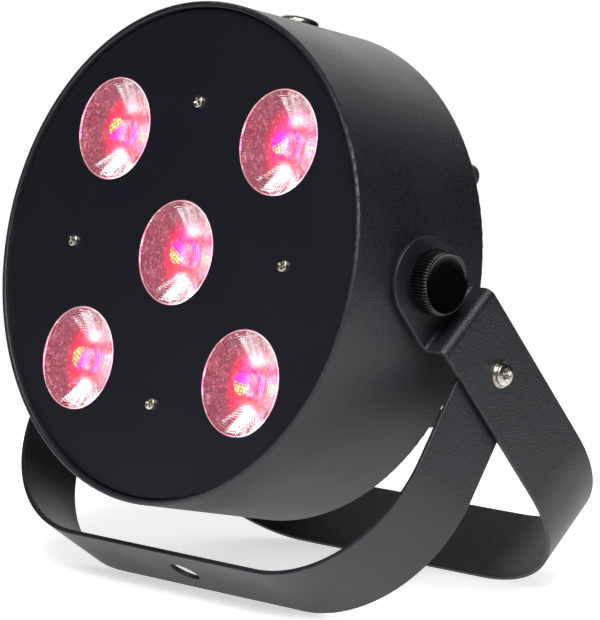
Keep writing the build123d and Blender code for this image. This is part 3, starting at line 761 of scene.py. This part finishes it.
def coated(name, colour, grain_colour, grain, rough, spread, bump, distance, **shader):
    values = {"Color": tuple(colour), "Grain Color": tuple(grain_colour), "Grain per Metre": grain,
              "Roughness": rough, "Spread": spread}
    return surface(name, "grain", values, shader, bump, distance)


def plated(name, colour, tarnish, streaks, rough):
    values = {"Color": colour, "Tarnish": tarnish, "Streaks per Metre": streaks,
              "Roughness": rough, "Spread": 0.2}
    return surface(name, "metal", values, {"Metallic": 1.0}, 0.15, 0.00003)


PLATED = {  # colour, tarnish, streaks per metre, roughness
    "nickel_screw": ((0.60, 0.57, 0.52, 1), (0.36, 0.33, 0.28, 1), 2600.0, 0.27),
    "black_screw": (grey(0.055, 1.05), grey(0.03), 2600.0, 0.34),
    "zinc_steel": ((0.50, 0.52, 0.55, 1), (0.38, 0.38, 0.36, 1), 1800.0, 0.32),
    "sink_aluminium": ((0.56, 0.57, 0.58, 1), (0.44, 0.44, 0.45, 1), 2200.0, 0.36),
}
COATED = {  # colour, grain colour, grain per metre, roughness, spread, bump strength, bump distance
    "knob_plastic": (grey(0.0006), grey(0.0014), 1800.0, 0.15, 0.08, 0.05, 0.00003),
    "black_rubber": (grey(0.010), grey(0.022), 1300.0, 0.58, 0.2, 0.3, 0.00006),
    "socket_plastic": (grey(0.012), grey(0.020), 1700.0, 0.38, 0.14, 0.16, 0.00004),
    "latch_plastic": (grey(0.09, 1.03), grey(0.12, 1.03), 1700.0, 0.35, 0.12, 0.12, 0.00004),
    "button_plastic": (grey(0.022), grey(0.036), 1900.0, 0.32, 0.12, 0.12, 0.00004),
    "window_plastic": ((0.10, 0.004, 0.006, 1), (0.13, 0.006, 0.008, 1), 900.0, 0.10, 0.06, 0.0, 0.0001),
    "display_segments": ((0.30, 0.10, 0.10, 1), (0.36, 0.14, 0.13, 1), 1500.0, 0.4, 0.1, 0.0, 0.0001),
    "component_black": (grey(0.014), grey(0.024), 1600.0, 0.44, 0.16, 0.2, 0.00004),
    "ferrite": (grey(0.035, 1.06), grey(0.06), 2200.0, 0.6, 0.15, 0.3, 0.00005),
    "capacitor_sleeve": ((0.012, 0.018, 0.05, 1), (0.02, 0.03, 0.07, 1), 900.0, 0.25, 0.1, 0.05, 0.00004),
}
COATED_SHADERS = {"window_plastic": {"Transmission Weight": 0.35, "IOR": 1.49}}
BOARDS = {  # mask, copper runs
    "circuit_board": ((0.010, 0.075, 0.030, 1), (0.022, 0.14, 0.055, 1)),
    "led_board_mask": ((0.62, 0.60, 0.60, 1), (0.70, 0.69, 0.68, 1)),
}


def make_finish(name):
    c = colours()
    if name in ("housing_paint", "yoke_paint"):
        return coated(name, c.paint, c.paint_light, 1500.0, 0.46, 0.34, 1.0, 0.00014)
    if name == "panel_paint":
        return coated(name, c.panel, grey(0.008, 1.5), 2600.0, 0.36, 0.10, 0.10, 0.00003)
    if name in PLATED:
        return plated(name, *PLATED[name])
    if name in COATED:
        return coated(name, *COATED[name], **COATED_SHADERS.get(name, {}))
    if name in BOARDS:
        mask, runs = BOARDS[name]
        values = {"Mask Color": mask, "Run Color": runs, "Pad Color": (0.55, 0.50, 0.42, 1),
                  "Roughness": 0.33}
        return surface(name, "board", values, {}, 0.25, 0.00004)
    if name == "led_package":
        values = {"Deep": (0.55, 0.01, 0.05, 1), "Bright": (1.0, 0.10, 0.16, 1), "Sparkle": 0.9}
        return glowing(name, values, 2.2, {"Base Color": (0.75, 0.70, 0.66, 1), "Roughness": 0.4})
    if name == "dice_warm":
        values = {"Deep": tuple(c.dice_warm), "Bright": (1.0, 0.62, 0.22, 1), "Low": 0.2, "High": 0.9}
        return glowing(name, values, 9.0, {"Base Color": (0.6, 0.4, 0.1, 1), "Roughness": 0.3})
    if name == "dice_cool":
        values = {"Deep": tuple(c.dice_cool), "Bright": (1.0, 0.22, 0.55, 1), "Low": 0.2, "High": 0.9}
        return glowing(name, values, 6.0, {"Base Color": (0.5, 0.1, 0.3, 1), "Roughness": 0.3})
    if name == "led_dome":
        values = {"Deep": (0.05, 0.01, 0.01, 1), "Bright": (0.25, 0.06, 0.08, 1)}
        return glowing(name, values, 0.3, {"Base Color": (1.0, 0.97, 0.95, 1), "Roughness": 0.03, "IOR": 1.41,
                                           "Transmission Weight": 1.0})
    if name == "holder_plastic":
        # The cups' emission is painted light: the LEDs' light scattered on the plastic, with a painted red glow
        # round the dice in the core and halo.
        values = {"Deep": tuple(c.glow_deep), "Bright": tuple(c.glow), "Rings per Metre": 1300.0,
                  "Spokes": 110.0, "Sparkle": 1.2, "Low": 0.30, "High": 1.15, "Core": (2.1, 0.03, 0.09, 1),
                  "Second Core": (1.3, 0.01, 0.75, 1), "Halo": (1.1, 0.012, 0.085, 1),
                  "Core Radius": 0.0100, "Halo Radius": 0.0125, "Fade": 0.0030}
        return glowing(name, values, 1.0, {"Base Color": (0.03, 0.02, 0.02, 1), "Roughness": 0.35}, 0.3,
                       0.0002)
    if name == "lens_clear":
        # The lens's emission is painted light: a faint scattered glow with painted glints, a painted image of the
        # dice in the middle of the front face, painted bands in the well over the LED and a painted highlight
        # round the front rim.
        front, back, flange = lens_place("centre")[1:]
        values = {"Deep": (0.02, 0.004, 0.007, 1), "Bright": (1.15, 0.55, 0.62, 1), "Rings per Metre": 1500.0,
                  "Spokes": 120.0, "Sparkle": 2.2, "Low": 0.46, "High": 1.15, "Core": (12.0, 4.2, 0.80, 1),
                  "Second Core": (4.4, 0.02, 4.2, 1), "Core Radius": 0.0043, "Core Depth": (front + back) / 2,
                  "Halo": (4.4, 0.05, 0.25, 1), "Well Radius": 0.0052, "Well Depth": back - 0.0089,
                  "Fade": 0.0003, "Rim Radius": flange - LENS_FLANGE_LIP - 0.0004,
                  "Rim Depth": front + 0.0002}
        return glowing(name, values, 0.25,
                       {"Base Color": (1.0, 0.90, 0.92, 1), "Roughness": 0.06, "IOR": 1.49,
                                            "Transmission Weight": 1.0}, 0.30, 0.00012)
    raise ValueError(f"no finish is called {name}")


def finish(name):
    label = "Finish " + name
    material = bpy.data.materials.get(label)
    if material is None:
        material = make_finish(name)
        material.name = label
    return material


# ---- operators: one for each piece or group of pieces ------------------------------------------------
SOFT_EDGED = {"power_inlet": 0.25, "power_outlet": 0.25, "fuse_drawer": 0.3, "data_latch": 0.2,
              "heat_sink": 0.2, "supply_transformer": 0.3, "display_module": 0.2, "control_board": 0.1,
              "supply_board": 0.1, "stand_spacers": 0.2}


class PARLIGHT_OT_frame_finishes(Operator):
    """Give every carried-over CAD node its finish, and soften the edges of the boxy ones"""

    bl_idname = "par_light.frame_finishes"
    bl_label = "Frame finishes"

    def execute(self, context):
        for name, obj in frame["nodes"].items():
            slot = obj.data.materials[0].name.split(".")[0]
            if slot not in SLOTS:
                raise ValueError(f"{name} has no slot of the record: {slot}")
            obj.material_slots[0].material = finish(slot)
            width = SOFT_EDGED.get(name)
            if width:
                weld = obj.modifiers.new("Join faces", "WELD")
                weld.merge_threshold = 1e-6
                bevel = obj.modifiers.new("Soft edges", "BEVEL")
                bevel.width = width / 1000
                bevel.segments = 2
                bevel.limit_method = "ANGLE"
                bevel.angle_limit = math.radians(50)
                even = obj.modifiers.new("Even shading", "WEIGHTED_NORMAL")
                even.weight = 80
        return {"FINISHED"}


class PARLIGHT_OT_yokes(Operator):
    """Fold the main yoke and the stand yoke from plate"""

    bl_idname = "par_light.yokes"
    bl_label = "Yokes"

    def execute(self, context):
        s = sizes()
        for name, place, bends, ear in (
                ("main_yoke", main_place(), s.main_bend, s.ear_outer),
                ("stand_yoke", stand_place(), s.stand_bend, None)):
            low, high = local_box(name, place)
            middle = s.sheet / 2
            arm, strap, half = high.x - middle, low.z + middle, high.y
            right = [(arm, high.z), (arm, strap)]
            radii = [bends, bends]
            if ear:
                right = [(ear - middle, high.z), (ear - middle, -s.step_down), (arm, -s.step_down),
                         (arm, strap)]
                radii = [s.step_bend, s.step_bend, *radii, s.step_bend, s.step_bend]
            line = BentLine(right + [(-x, z) for x, z in reversed(right)], radii)
            holes = [(line.down_from_start(half), s.pivot_hole if ear else s.screw_hole + 0.00005)]
            if ear:
                holes.append((line.down_from_start(half + s.stand_pivot_down), s.screw_hole))
            holes.append((line.length / 2, s.clamp_hole))
            holes += [(line.length - at, radius) for at, radius in reversed(holes[:-1])]
            shape = folded_plate(line, half, s.sheet, s.sheet_edge, holes)
            add_piece(name + "_plate", shape, place, name, "yoke_paint", name, weld=2e-6, weighted=True)
        return {"FINISHED"}


def lens_place(name):
    """A lens's own frame, its axis y through the middle of its box, then its front, back and flange."""
    low, high = local_box("lens_" + name, head_place())
    place = head_place() @ Matrix.Translation(middle_of(low, high))
    return place, low.y, high.y, (high.x - low.x) / 2


LENS_TURNS = {"centre": 0.5, "top_left": 2.6, "top_right": -0.5, "bottom_left": 2.0, "bottom_right": 0.1}
LENS_FLANGE_LIP = 0.0009
LENS_DISH = 0.0016
LENS_FLANGE_DEPTH = 0.0022
LENS_FLANGE_T = 0.0014
WELL_MOUTH, WELL_TOP, WELL_DEPTH = 0.0051, 0.0047, 0.0088  # the hollow over the LED's dome
WELL_FLOOR, WELL_RISE = 0.0044, 0.0024  # radius and rise of its domed floor
FLUTES, FLUTE_DEPTH = 18, 0.011  # round the lens's cone, the depth as a share of the radius


def led_place(name):
    """A lens's frame, turned about its axis as its LED is."""
    return lens_place(name)[0] @ Matrix.Rotation(LENS_TURNS[name], 4, "Y")


class PARLIGHT_OT_lenses(Operator):
    """Model the five collimator lenses with pillowed faces and fluted cones"""

    bl_idname = "par_light.lenses"
    bl_label = "Lenses"

    def execute(self, context):
        s = sizes()
        for name in LENSES:
            front, back, flange = lens_place(name)[1:]
            barrel = flange - LENS_FLANGE_LIP
            face = barrel - 0.0013
            seat = front + LENS_FLANGE_DEPTH
            pitch = face / s.lens_rings
            stations = [(0, front + LENS_DISH)]
            for number in range(1, 4 * s.lens_rings + 1):
                radius = face * number / (4 * s.lens_rings)
                stations.append((radius, front + LENS_DISH * (1 - (radius / face) ** 2)))
            stations += softened([
                (face, front, 0), (barrel, front, 0.0004), (barrel, seat, 0), (flange, seat, 0.0001),
                (flange, seat + LENS_FLANGE_T, 0.0001), (barrel - 0.0005, seat + LENS_FLANGE_T, 0)])[1:]
            neck = seat + LENS_FLANGE_T
            for number in range(1, 15):
                share = number / 14
                radius = 0.007 + (barrel - 0.0075) * (1 - share) * (1 + 0.10 * share)
                stations.append((radius, neck + (back - neck) * share))
            stations += softened([
                (0.007, back, 0), (WELL_MOUTH, back, 0.0002), (WELL_TOP, back - WELL_DEPTH, 0.0003),
                (WELL_FLOOR, back - WELL_DEPTH, 0)])[1:]
            for number in range(9, -1, -1):
                rise = WELL_RISE * (1 - (number / 10) ** 2)
                stations.append((WELL_FLOOR * number / 10, back - WELL_DEPTH + rise))
            cone = [neck + 1e-5, back - 1e-5]

            def lift(radius, angle, depth):
                if depth < front + LENS_DISH + 1e-6 and radius < face - 1e-6:
                    if radius < 2.5 * pitch:
                        spots = max(6, int(s.lens_sectors * radius / (6 * pitch)))
                    else:
                        spots = s.lens_sectors
                    ring = math.sin(math.pi * radius / pitch) ** 2
                    sector = 0.35 + 0.65 * math.sin(angle * spots / 2) ** 2
                    return -s.pillow_height * ring * sector
                return 0.0

            shape = turned(stations, even_angles(4 * s.lens_sectors), lift)
            fluted = []
            for x, y, z in shape[0]:
                radius = math.hypot(x, z)
                if cone[0] < y < cone[1] and radius > 0.0068:
                    dent = 1 - FLUTE_DEPTH * (0.5 - 0.5 * math.cos(FLUTES * math.atan2(z, x)))
                    x, z = x * dent, z * dent
                fluted.append((x, y, z))
            add_piece("lens_optic_" + name, (fluted, shape[1]), led_place(name), HEAD, "lens_clear",
                      "lens_" + name, sharp=50)
        return {"FINISHED"}


class PARLIGHT_OT_lens_holders(Operator):
    """Model the cups that carry the lenses"""

    bl_idname = "par_light.lens_holders"
    bl_label = "Lens holders"

    def execute(self, context):
        for name in LENSES:
            low, high = local_box("lens_holder_" + name, lens_place(name)[0])
            outer, top, base = high.x, low.y, high.y
            lip = outer - 0.0012
            shape = turned(softened([
                (0.0082, base - 0.0032, 0), (lip, top + 0.0022, 0.0003), (lip, top, 0.0002),
                (outer, top, 0.0003), (outer, top + 0.003, 0.0006), (0.0115, base - 0.002, 0.0006),
                (0.0115, base, 0.0002), (0.0082, base, 0.0002), (0.0082, base - 0.0032, 0)]), even_angles(96))
            add_piece("lens_cup_" + name, shape, led_place(name), HEAD, "holder_plastic",
                      "lens_holder_" + name, weld=1e-7)
        return {"FINISHED"}


class PARLIGHT_OT_leds(Operator):
    """Model the LED packages: base, lit dice and clear dome"""

    bl_idname = "par_light.leds"
    bl_label = "LEDs"

    def execute(self, context):
        for name in LENSES:
            low, high = local_box("led_" + name, lens_place(name)[0])
            place = led_place(name)
            step = high.y - 0.001
            half = high.x
            plain = Matrix.Identity(4)
            base = soft_box((-half, step, -half), (half, high.y, half), 0.00025)
            pads = []
            for x in (-0.0032, 0.0032):
                for z in (-0.0032, 0.0032):
                    pad = soft_box((x - 0.0006, step - 0.00012, z - 0.0006),
                                   (x + 0.0006, step + 0.0002, z + 0.0006), 0.0001)
                    pads.append((pad, plain))
            add_piece("led_base_" + name, joined([(base, plain), *pads]), place, HEAD, "led_package",
                      "led_" + name)
            dice = {"warm": [], "cool": []}
            for column, x in enumerate((-0.0011, 0.0, 0.0011)):
                for row, z in enumerate((-0.00062, 0.00062)):
                    kind = "cool" if (column + row) % 3 == 1 else "warm"
                    die = soft_box((x - 0.0004, step - 0.0003, z - 0.0004),
                                   (x + 0.0004, step, z + 0.0004), 0.00006, 1)
                    dice[kind].append((die, plain))
            for kind, shapes in dice.items():
                add_piece(f"led_dice_{kind}_{name}", joined(shapes), place, HEAD, "led_package",
                          look="dice_" + kind)
            radius = step - low.y
            foot = step - 0.00002
            bow = []
            for number in range(13):
                angle = math.radians(90 * number / 12)
                bow.append((radius * math.sin(angle), foot - (radius - 0.0001) * math.cos(angle)))
            dome = turned([(0, bow[0][1]), *bow[1:], (0, foot)], even_angles(48))
            add_piece("led_dome_" + name, dome, place, HEAD, "led_package", look="led_dome")
        return {"FINISHED"}


def screw(head, tall, shank, length, flange=0.0, flange_t=0.0):
    """A pan-head screw along y with a tapered cross recess; its seat is at y = 0 and its head points to -y."""
    top = -flange_t - tall
    arm, deep = 0.60 * head, 0.62 * tall

    def dome(radius):
        return top + 0.32 * tall * (radius / head) ** 2.4

    stations = [(0, top + deep), (0.42 * arm, top + 0.96 * deep, cross),
                (0.88 * arm, top + 0.3 * deep, cross),
                (0.96 * arm, dome(0.5 * arm) + 0.03 * tall, cross), (1.02 * arm, dome(0.7 * arm), cross)]
    for share in (0.72, 0.78, 0.84, 0.89):
        stations.append((share * head, dome(share * head)))
    stations += softened([(0.9 * head, dome(0.9 * head), 0), (head, dome(head), 0.1 * head),
                          (head, -flange_t, 0 if flange else 0.05 * head)])[1:]
    if flange:
        stations += softened([(head, -flange_t, 0), (flange, -flange_t, 0.25 * flange_t), (flange, 0, 0)])[1:]
    stations += [(shank, 0), (shank, length - 0.3 * shank), (0.8 * shank, length), (0, length)]
    return turned(stations, cross_angles(64))


class PARLIGHT_OT_screws(Operator):
    """Model the cross-recessed screws of the panel, the rear cover, the sockets and the stand"""

    bl_idname = "par_light.screws"
    bl_label = "Screws"

    def execute(self, context):
        head = head_place()
        turns = (0.35, 1.1, 0.8, 0.2, 1.35, 0.6, 0.95, 0.05)
        for node, tall, shank, rear, slot in (
                ("panel_screws", 0.0015, 0.00145, False, "nickel_screw"),
                ("cover_screws", 0.0019, 0.0012, True, "black_screw"),
                ("socket_screws", 0.0016, 0.0015, True, "black_screw")):
            shapes = []
            for number, (low, high) in enumerate(solid_boxes(node, head, 0.013)):
                seat = high.y - tall if rear else low.y + tall
                long = seat - low.y if rear else high.y - seat
                place = Matrix.Translation(middle_of(low, high, seat))
                if rear:
                    place = place @ Matrix.Rotation(math.pi, 4, "X")
                place = place @ Matrix.Rotation(turns[number % len(turns)], 4, "Y")
                shapes.append((screw((high.x - low.x) / 2, tall, shank, long), place))
            add_piece(node + "_set", joined(shapes), head, HEAD, slot, node)
        arm = Matrix.Translation(JOINTS["stand_swing"]["pos_m"]) @ Matrix.Rotation(sizes().main_angle, 4, "X")
        shapes = []
        for side in (1, -1):
            place = arm @ outwards(side)
            points = [point for point in points_in("stand_screws", place) if point.y > 0]
            low, high = box_of(points)
            tall, flange_t, shank = 0.0025, 0.0008, 0.00245
            seat = high.y - tall - flange_t
            turn = Matrix.Rotation(math.pi, 4, "X") @ Matrix.Rotation(0.5, 4, "Y")
            form = screw(0.0045, tall, shank, seat - low.y, high.x, flange_t)
            shapes.append((form, outwards(side) @ (Matrix.Translation((0, seat, 0)) @ turn)))
        add_piece("stand_screws_set", joined(shapes), arm, "main_yoke", "nickel_screw", "stand_screws")
        return {"FINISHED"}


class PARLIGHT_OT_knobs(Operator):
    """Model the two ridged clamping knobs"""

    bl_idname = "par_light.knobs"
    bl_label = "Knobs"

    def execute(self, context):
        s = sizes()

        def ridged(angle):
            wave = 0.5 - 0.5 * math.cos(s.knob_ridges * angle)
            return 1 - s.ridge_depth / 0.0126 * wave ** 1.4

        for side, name in ((1, "right"), (-1, "left")):
            place = Matrix.Translation(JOINTS["head_tilt"]["pos_m"]) @ outwards(side)
            low, high = local_box("knob_grip_" + name, place)
            reach, face, hub = high.x, high.y, low.y
            base = hub + 0.00235
            stations = softened([
                (0, 0.1101, 0), (0.0040, 0.1101, 0), (0.0040, hub, 0.0002), (0.008, hub, 0.0003),
                (0.008, base, 0.0003), (reach - 0.0009, base, 0)])
            stations += [
                (reach - 0.00075, base + 0.00004), (reach - 0.0003, base + 0.00022, ridged),
                (reach, base + 0.0007, ridged), (reach, face - 0.0016, ridged),
                (reach - 0.0003, face - 0.0007, ridged), (reach - 0.00072, face - 0.0002, ridged),
                (reach - 0.00105, face), (0.01130, face), (0.01105, face - 0.0001),
                (0.01085, face - 0.00035), (0.0105, face - 0.0005), (0.0102, face - 0.00056),
                (0.0070, face - 0.00064), (0.0035, face - 0.00068), (0, face - 0.0007)]
            add_piece("knob_" + name, turned(stations, even_angles(8 * s.knob_ridges)), place,
                      f"knob_{name}_grip", "knob_plastic", "knob_grip_" + name, sharp=55)
        return {"FINISHED"}


class PARLIGHT_OT_safety_bolt(Operator):
    """Model the low bolt on top of the drum, with a hexagonal socket"""

    bl_idname = "par_light.safety_bolt"
    bl_label = "Safety bolt"

    def execute(self, context):
        up = Matrix.Rotation(-math.pi / 2, 4, "X")
        low, high = local_box("safety_bolt", head_place() @ up)
        place = head_place() @ up @ Matrix.Translation(middle_of(low, high))
        head, top, bottom = (high.x - low.x) / 2, low.y, high.y
        seat, socket = top + 0.0029, 0.0023
        stations = [(0, top + 0.0017), (0.96 * socket, top + 0.0017, hexagon),
                    (socket, top + 0.00012, hexagon),
                    (1.06 * socket, top + 0.00002, hexagon), (0.0036, top)]
        stations += softened([(0.0045, top, 0), (0.0066, top + 0.0001, 0.0008), (head, top + 0.0012, 0.0008),
                              (head, seat, 0.0003), (0.0039, seat, 0), (0.0039, bottom, 0.0005),
                              (0, bottom, 0)])
        add_piece("safety_bolt_turned", turned(stations, even_angles(72)), place, HEAD, "nickel_screw",
                  "safety_bolt")
        return {"FINISHED"}


class PARLIGHT_OT_feet(Operator):
    """Model the rubber feet on the rear cover, each with a sunk rivet hole"""

    bl_idname = "par_light.feet"
    bl_label = "Rear feet"

    def execute(self, context):
        head = head_place()
        shapes = []
        for low, high in solid_boxes("rear_feet", head, 0.02):
            radius, base, top = (high.x - low.x) / 2, low.y, high.y
            stations = softened([(0, base, 0), (radius, base, 0.0002), (radius - 0.0006, top, 0.0017),
                                 (0.0021, top, 0.0004), (0.0018, top - 0.0034, 0.0003), (0, top - 0.0034, 0)],
                                 6)
            place = Matrix.Translation(middle_of(low, high))
            shapes.append((turned(stations), place))
        add_piece("rear_feet_rubber", joined(shapes), head, HEAD, "black_rubber", "rear_feet")
        return {"FINISHED"}


class PARLIGHT_OT_display(Operator):
    """Model the unlit digit segments behind the display window"""

    bl_idname = "par_light.display"
    bl_label = "Display digits"

    def execute(self, context):
        head = head_place()
        low, high = local_box("display_module", head)
        middle = (low.z + high.z) / 2
        shapes = []
        wide, tall, bar, raised = 0.0026, 0.0046, 0.00055, 0.00022

        def segment(x, z, length, upright):
            tip = length - bar
            outline = [(-length, 0), (-tip, bar), (tip, bar), (length, 0), (tip, -bar), (-tip, -bar)]
            if upright:
                outline = [(b, a) for a, b in outline]
            flat = prism([(x + a, -(z + b)) for a, b in outline], 0, raised, 0.00006)
            turn = Matrix.Translation((0, high.y + raised, 0)) @ Matrix.Rotation(math.pi, 4, "X")
            shapes.append((flat, turn))

        for digit in range(4):
            x = (digit - 1.5) * 0.0084
            for z in (-tall, 0.0, tall):
                segment(x, middle + z, wide - 0.0002, False)
            for side in (-1, 1):
                for z in (-tall / 2, tall / 2):
                    segment(x + side * wide, middle + z, tall / 2 - 0.0002, True)
        add_piece("display_digits", joined(shapes), head, HEAD, "component_black",
                  look="display_segments", sharp=20)
        return {"FINISHED"}


class PARLIGHT_OT_contacts(Operator):
    """Model the plated pins and blades inside the input sockets"""

    bl_idname = "par_light.contacts"
    bl_label = "Contacts"

    def execute(self, context):
        head = head_place()
        plain = Matrix.Identity(4)
        low, high = local_box("data_input", head)
        middle = middle_of(low, high)
        shapes = []
        for angle in (90, 210, 330):
            x, z = 0.0039 * math.cos(math.radians(angle)), 0.0039 * math.sin(math.radians(angle))
            pin = turned(softened([
                (0, high.y - 0.0162, 0), (0.00128, high.y - 0.0162, 0), (0.00128, high.y - 0.0047, 0.0008),
                (0, high.y - 0.0047, 0)]), even_angles(32))
            shapes.append((pin, Matrix.Translation((middle.x + x, 0, middle.z + z))))
        low, high = local_box("power_inlet", head)
        x0, z0 = (low.x + high.x) / 2, (low.z + high.z) / 2 + 0.0065
        for x, z in ((0, 0.0022), (-0.007, -0.0022), (0.007, -0.0022)):
            blade = soft_box((x0 + x - 0.00106, high.y - 0.0168, z0 + z - 0.00206),
                             (x0 + x + 0.00106, high.y - 0.0047, z0 + z + 0.00206), 0.0004)
            shapes.append((blade, plain))
        add_piece("socket_contacts", joined(shapes), head, HEAD, "zinc_steel")
        return {"FINISHED"}


# ---- stage -----------------------------------------------------------------------------------------
LIGHT_AIM = (0.0, 0.0, 0.12)  # the middle of the drum


def area_light(name, place, aim, size, power):
    light = bpy.data.lights.new(name, "AREA")
    light.shape = "RECTANGLE"
    light.size, light.size_y = size
    light.energy = power
    obj = bpy.data.objects.new(name, light)
    obj.location = place
    obj.rotation_euler = (Vector(aim) - Vector(place)).to_track_quat("-Z", "Y").to_euler()
    bpy.context.scene.collection.objects.link(obj)
    return obj


class PARLIGHT_OT_stage(Operator):
    """Set up the floor, the soft studio lights, the world and the camera"""

    bl_idname = "par_light.stage"
    bl_label = "Stage"

    def execute(self, context):
        scene = context.scene
        stage = scene.par_light_stage
        corners = [(-20, -20, 0), (20, -20, 0), (20, 20, 0), (-20, 20, 0)]
        mesh = mesh_of("floor", (corners, [[0, 1, 2, 3]]))
        floor = bpy.data.objects.new("floor", mesh)
        scene.collection.objects.link(floor)
        material = bpy.data.materials.new("Floor paper")
        tree = blank_tree(material)
        where = own_coordinates(tree)
        away = add_node(tree, "ShaderNodeVectorMath", {"operation": "LENGTH"}, {0: where}).outputs["Value"]
        path = add_node(tree, "ShaderNodeLightPath").outputs["Is Camera Ray"]
        share = span(tree, away, 0.35, 0.9)
        paper = add_node(tree, "ShaderNodeBsdfPrincipled", None, {
            "Base Color": grey(stage.floor_tone), "Roughness": 0.5, "Specular IOR Level": 0.3,
            "Emission Color": grey(1.0), "Emission Strength": stage.floor_glow})
        white = calc(tree, "MULTIPLY", path, 1.02)
        glow = add_node(tree, "ShaderNodeEmission", None, {"Color": grey(1.0), "Strength": white})
        mix = add_node(tree, "ShaderNodeMixShader", None, {
            0: share, 1: paper.outputs["BSDF"], 2: glow.outputs[0]})
        end = add_node(tree, "ShaderNodeOutputMaterial", None, {"Surface": mix.outputs[0]})
        mesh.materials.append(material)

        world = bpy.data.worlds.new("Studio")
        scene.world = world
        tree = blank_tree(world)
        path = add_node(tree, "ShaderNodeLightPath")
        seen = add_node(tree, "ShaderNodeBackground", None, {"Color": grey(1.0), "Strength": 1.0})
        room = add_node(tree, "ShaderNodeBackground", None, {"Color": grey(1.0), "Strength": 0.006})
        mix = add_node(tree, "ShaderNodeMixShader", None, {
            0: path.outputs["Is Camera Ray"], 1: room.outputs[0], 2: seen.outputs[0]})
        add_node(tree, "ShaderNodeOutputWorld", None, {"Surface": mix.outputs[0]})

        turn = Matrix.Rotation(stage.azimuth, 3, "Z")
        for name, ahead, right, height, size, power in (
                ("softbox_key", 1.4, 0.0, 1.5, (1.2, 1.2), stage.key_light),
                ("softbox_glass", 1.39, 0.0, 1.49, (1.2, 1.2), stage.glass_light),
                ("softbox_back", -1.8, 0.0, 0.6, (2.4, 1.1), stage.back_light),
                ("softbox_hair", -1.2, 0.0, 1.3, (2.0, 1.0), stage.hair_light),
                ("softbox_fill", 1.0, -1.0, 0.8, (0.8, 0.8), stage.fill_light),
                ("softbox_rear", -1.42, 0.56, 0.8, (1.0, 0.8), stage.rear_light)):
            light = area_light(name, turn @ Vector((right, -ahead, height)), LIGHT_AIM, size, power)
            light.visible_transmission = name != "softbox_key"

        data = bpy.data.cameras.new("camera")
        data.lens = stage.focal
        data.sensor_width = 36
        data.clip_start, data.clip_end = 0.05, 100
        camera = bpy.data.objects.new("camera", data)
        scene.collection.objects.link(camera)
        a, e = stage.azimuth, stage.elevation
        back = Vector((math.sin(a) * math.cos(e), -math.cos(a) * math.cos(e), math.sin(e)))
        aim = head_place() @ Vector((0, 0, 0)) + Vector(stage.aim)
        camera.location = aim + back * stage.distance
        camera.rotation_mode = "QUATERNION"
        camera.rotation_quaternion = (-back).to_track_quat("-Z", "Y") @ Quaternion((0, 0, 1), stage.roll)
        scene.camera = camera
        scene.view_settings.view_transform = "Standard"
        return {"FINISHED"}


OPERATORS = (PARLIGHT_OT_stage, PARLIGHT_OT_frame_finishes, PARLIGHT_OT_yokes, PARLIGHT_OT_lenses,
             PARLIGHT_OT_lens_holders, PARLIGHT_OT_leds, PARLIGHT_OT_screws, PARLIGHT_OT_knobs,
             PARLIGHT_OT_safety_bolt, PARLIGHT_OT_feet, PARLIGHT_OT_display, PARLIGHT_OT_contacts)


class PARLIGHT_PT_sidebar(Panel):
    """Lists the par light's builders and settings in the 3D view's sidebar"""

    bl_label = "Par Light"
    bl_idname = "PARLIGHT_PT_sidebar"
    bl_space_type = "VIEW_3D"
    bl_region_type = "UI"
    bl_category = "Par Light"

    def draw(self, context):
        for operator in OPERATORS:
            self.layout.operator(operator.bl_idname)
        for group_name in ("par_light_sizes", "par_light_colours", "par_light_stage"):
            settings = getattr(context.scene, group_name)
            column = self.layout.column(align=True)
            for prop in settings.bl_rna.properties:
                if prop.identifier not in ("rna_type", "name"):
                    column.prop(settings, prop.identifier)


CLASSES = (ParLightSizes, ParLightColours, ParLightStage, *OPERATORS, PARLIGHT_PT_sidebar)


def register():
    for cls in CLASSES:
        bpy.utils.register_class(cls)
    bpy.types.Scene.par_light_sizes = PointerProperty(type=ParLightSizes)
    bpy.types.Scene.par_light_colours = PointerProperty(type=ParLightColours)
    bpy.types.Scene.par_light_stage = PointerProperty(type=ParLightStage)


def unregister():
    for name in ("par_light_sizes", "par_light_colours", "par_light_stage"):
        delattr(bpy.types.Scene, name)
    for cls in reversed(CLASSES):
        bpy.utils.unregister_class(cls)


def main():
    register()
    for operator in OPERATORS:
        name = operator.bl_idname.split(".")[1]
        getattr(bpy.ops.par_light, name)()


if __name__ == "__main__":
    main()
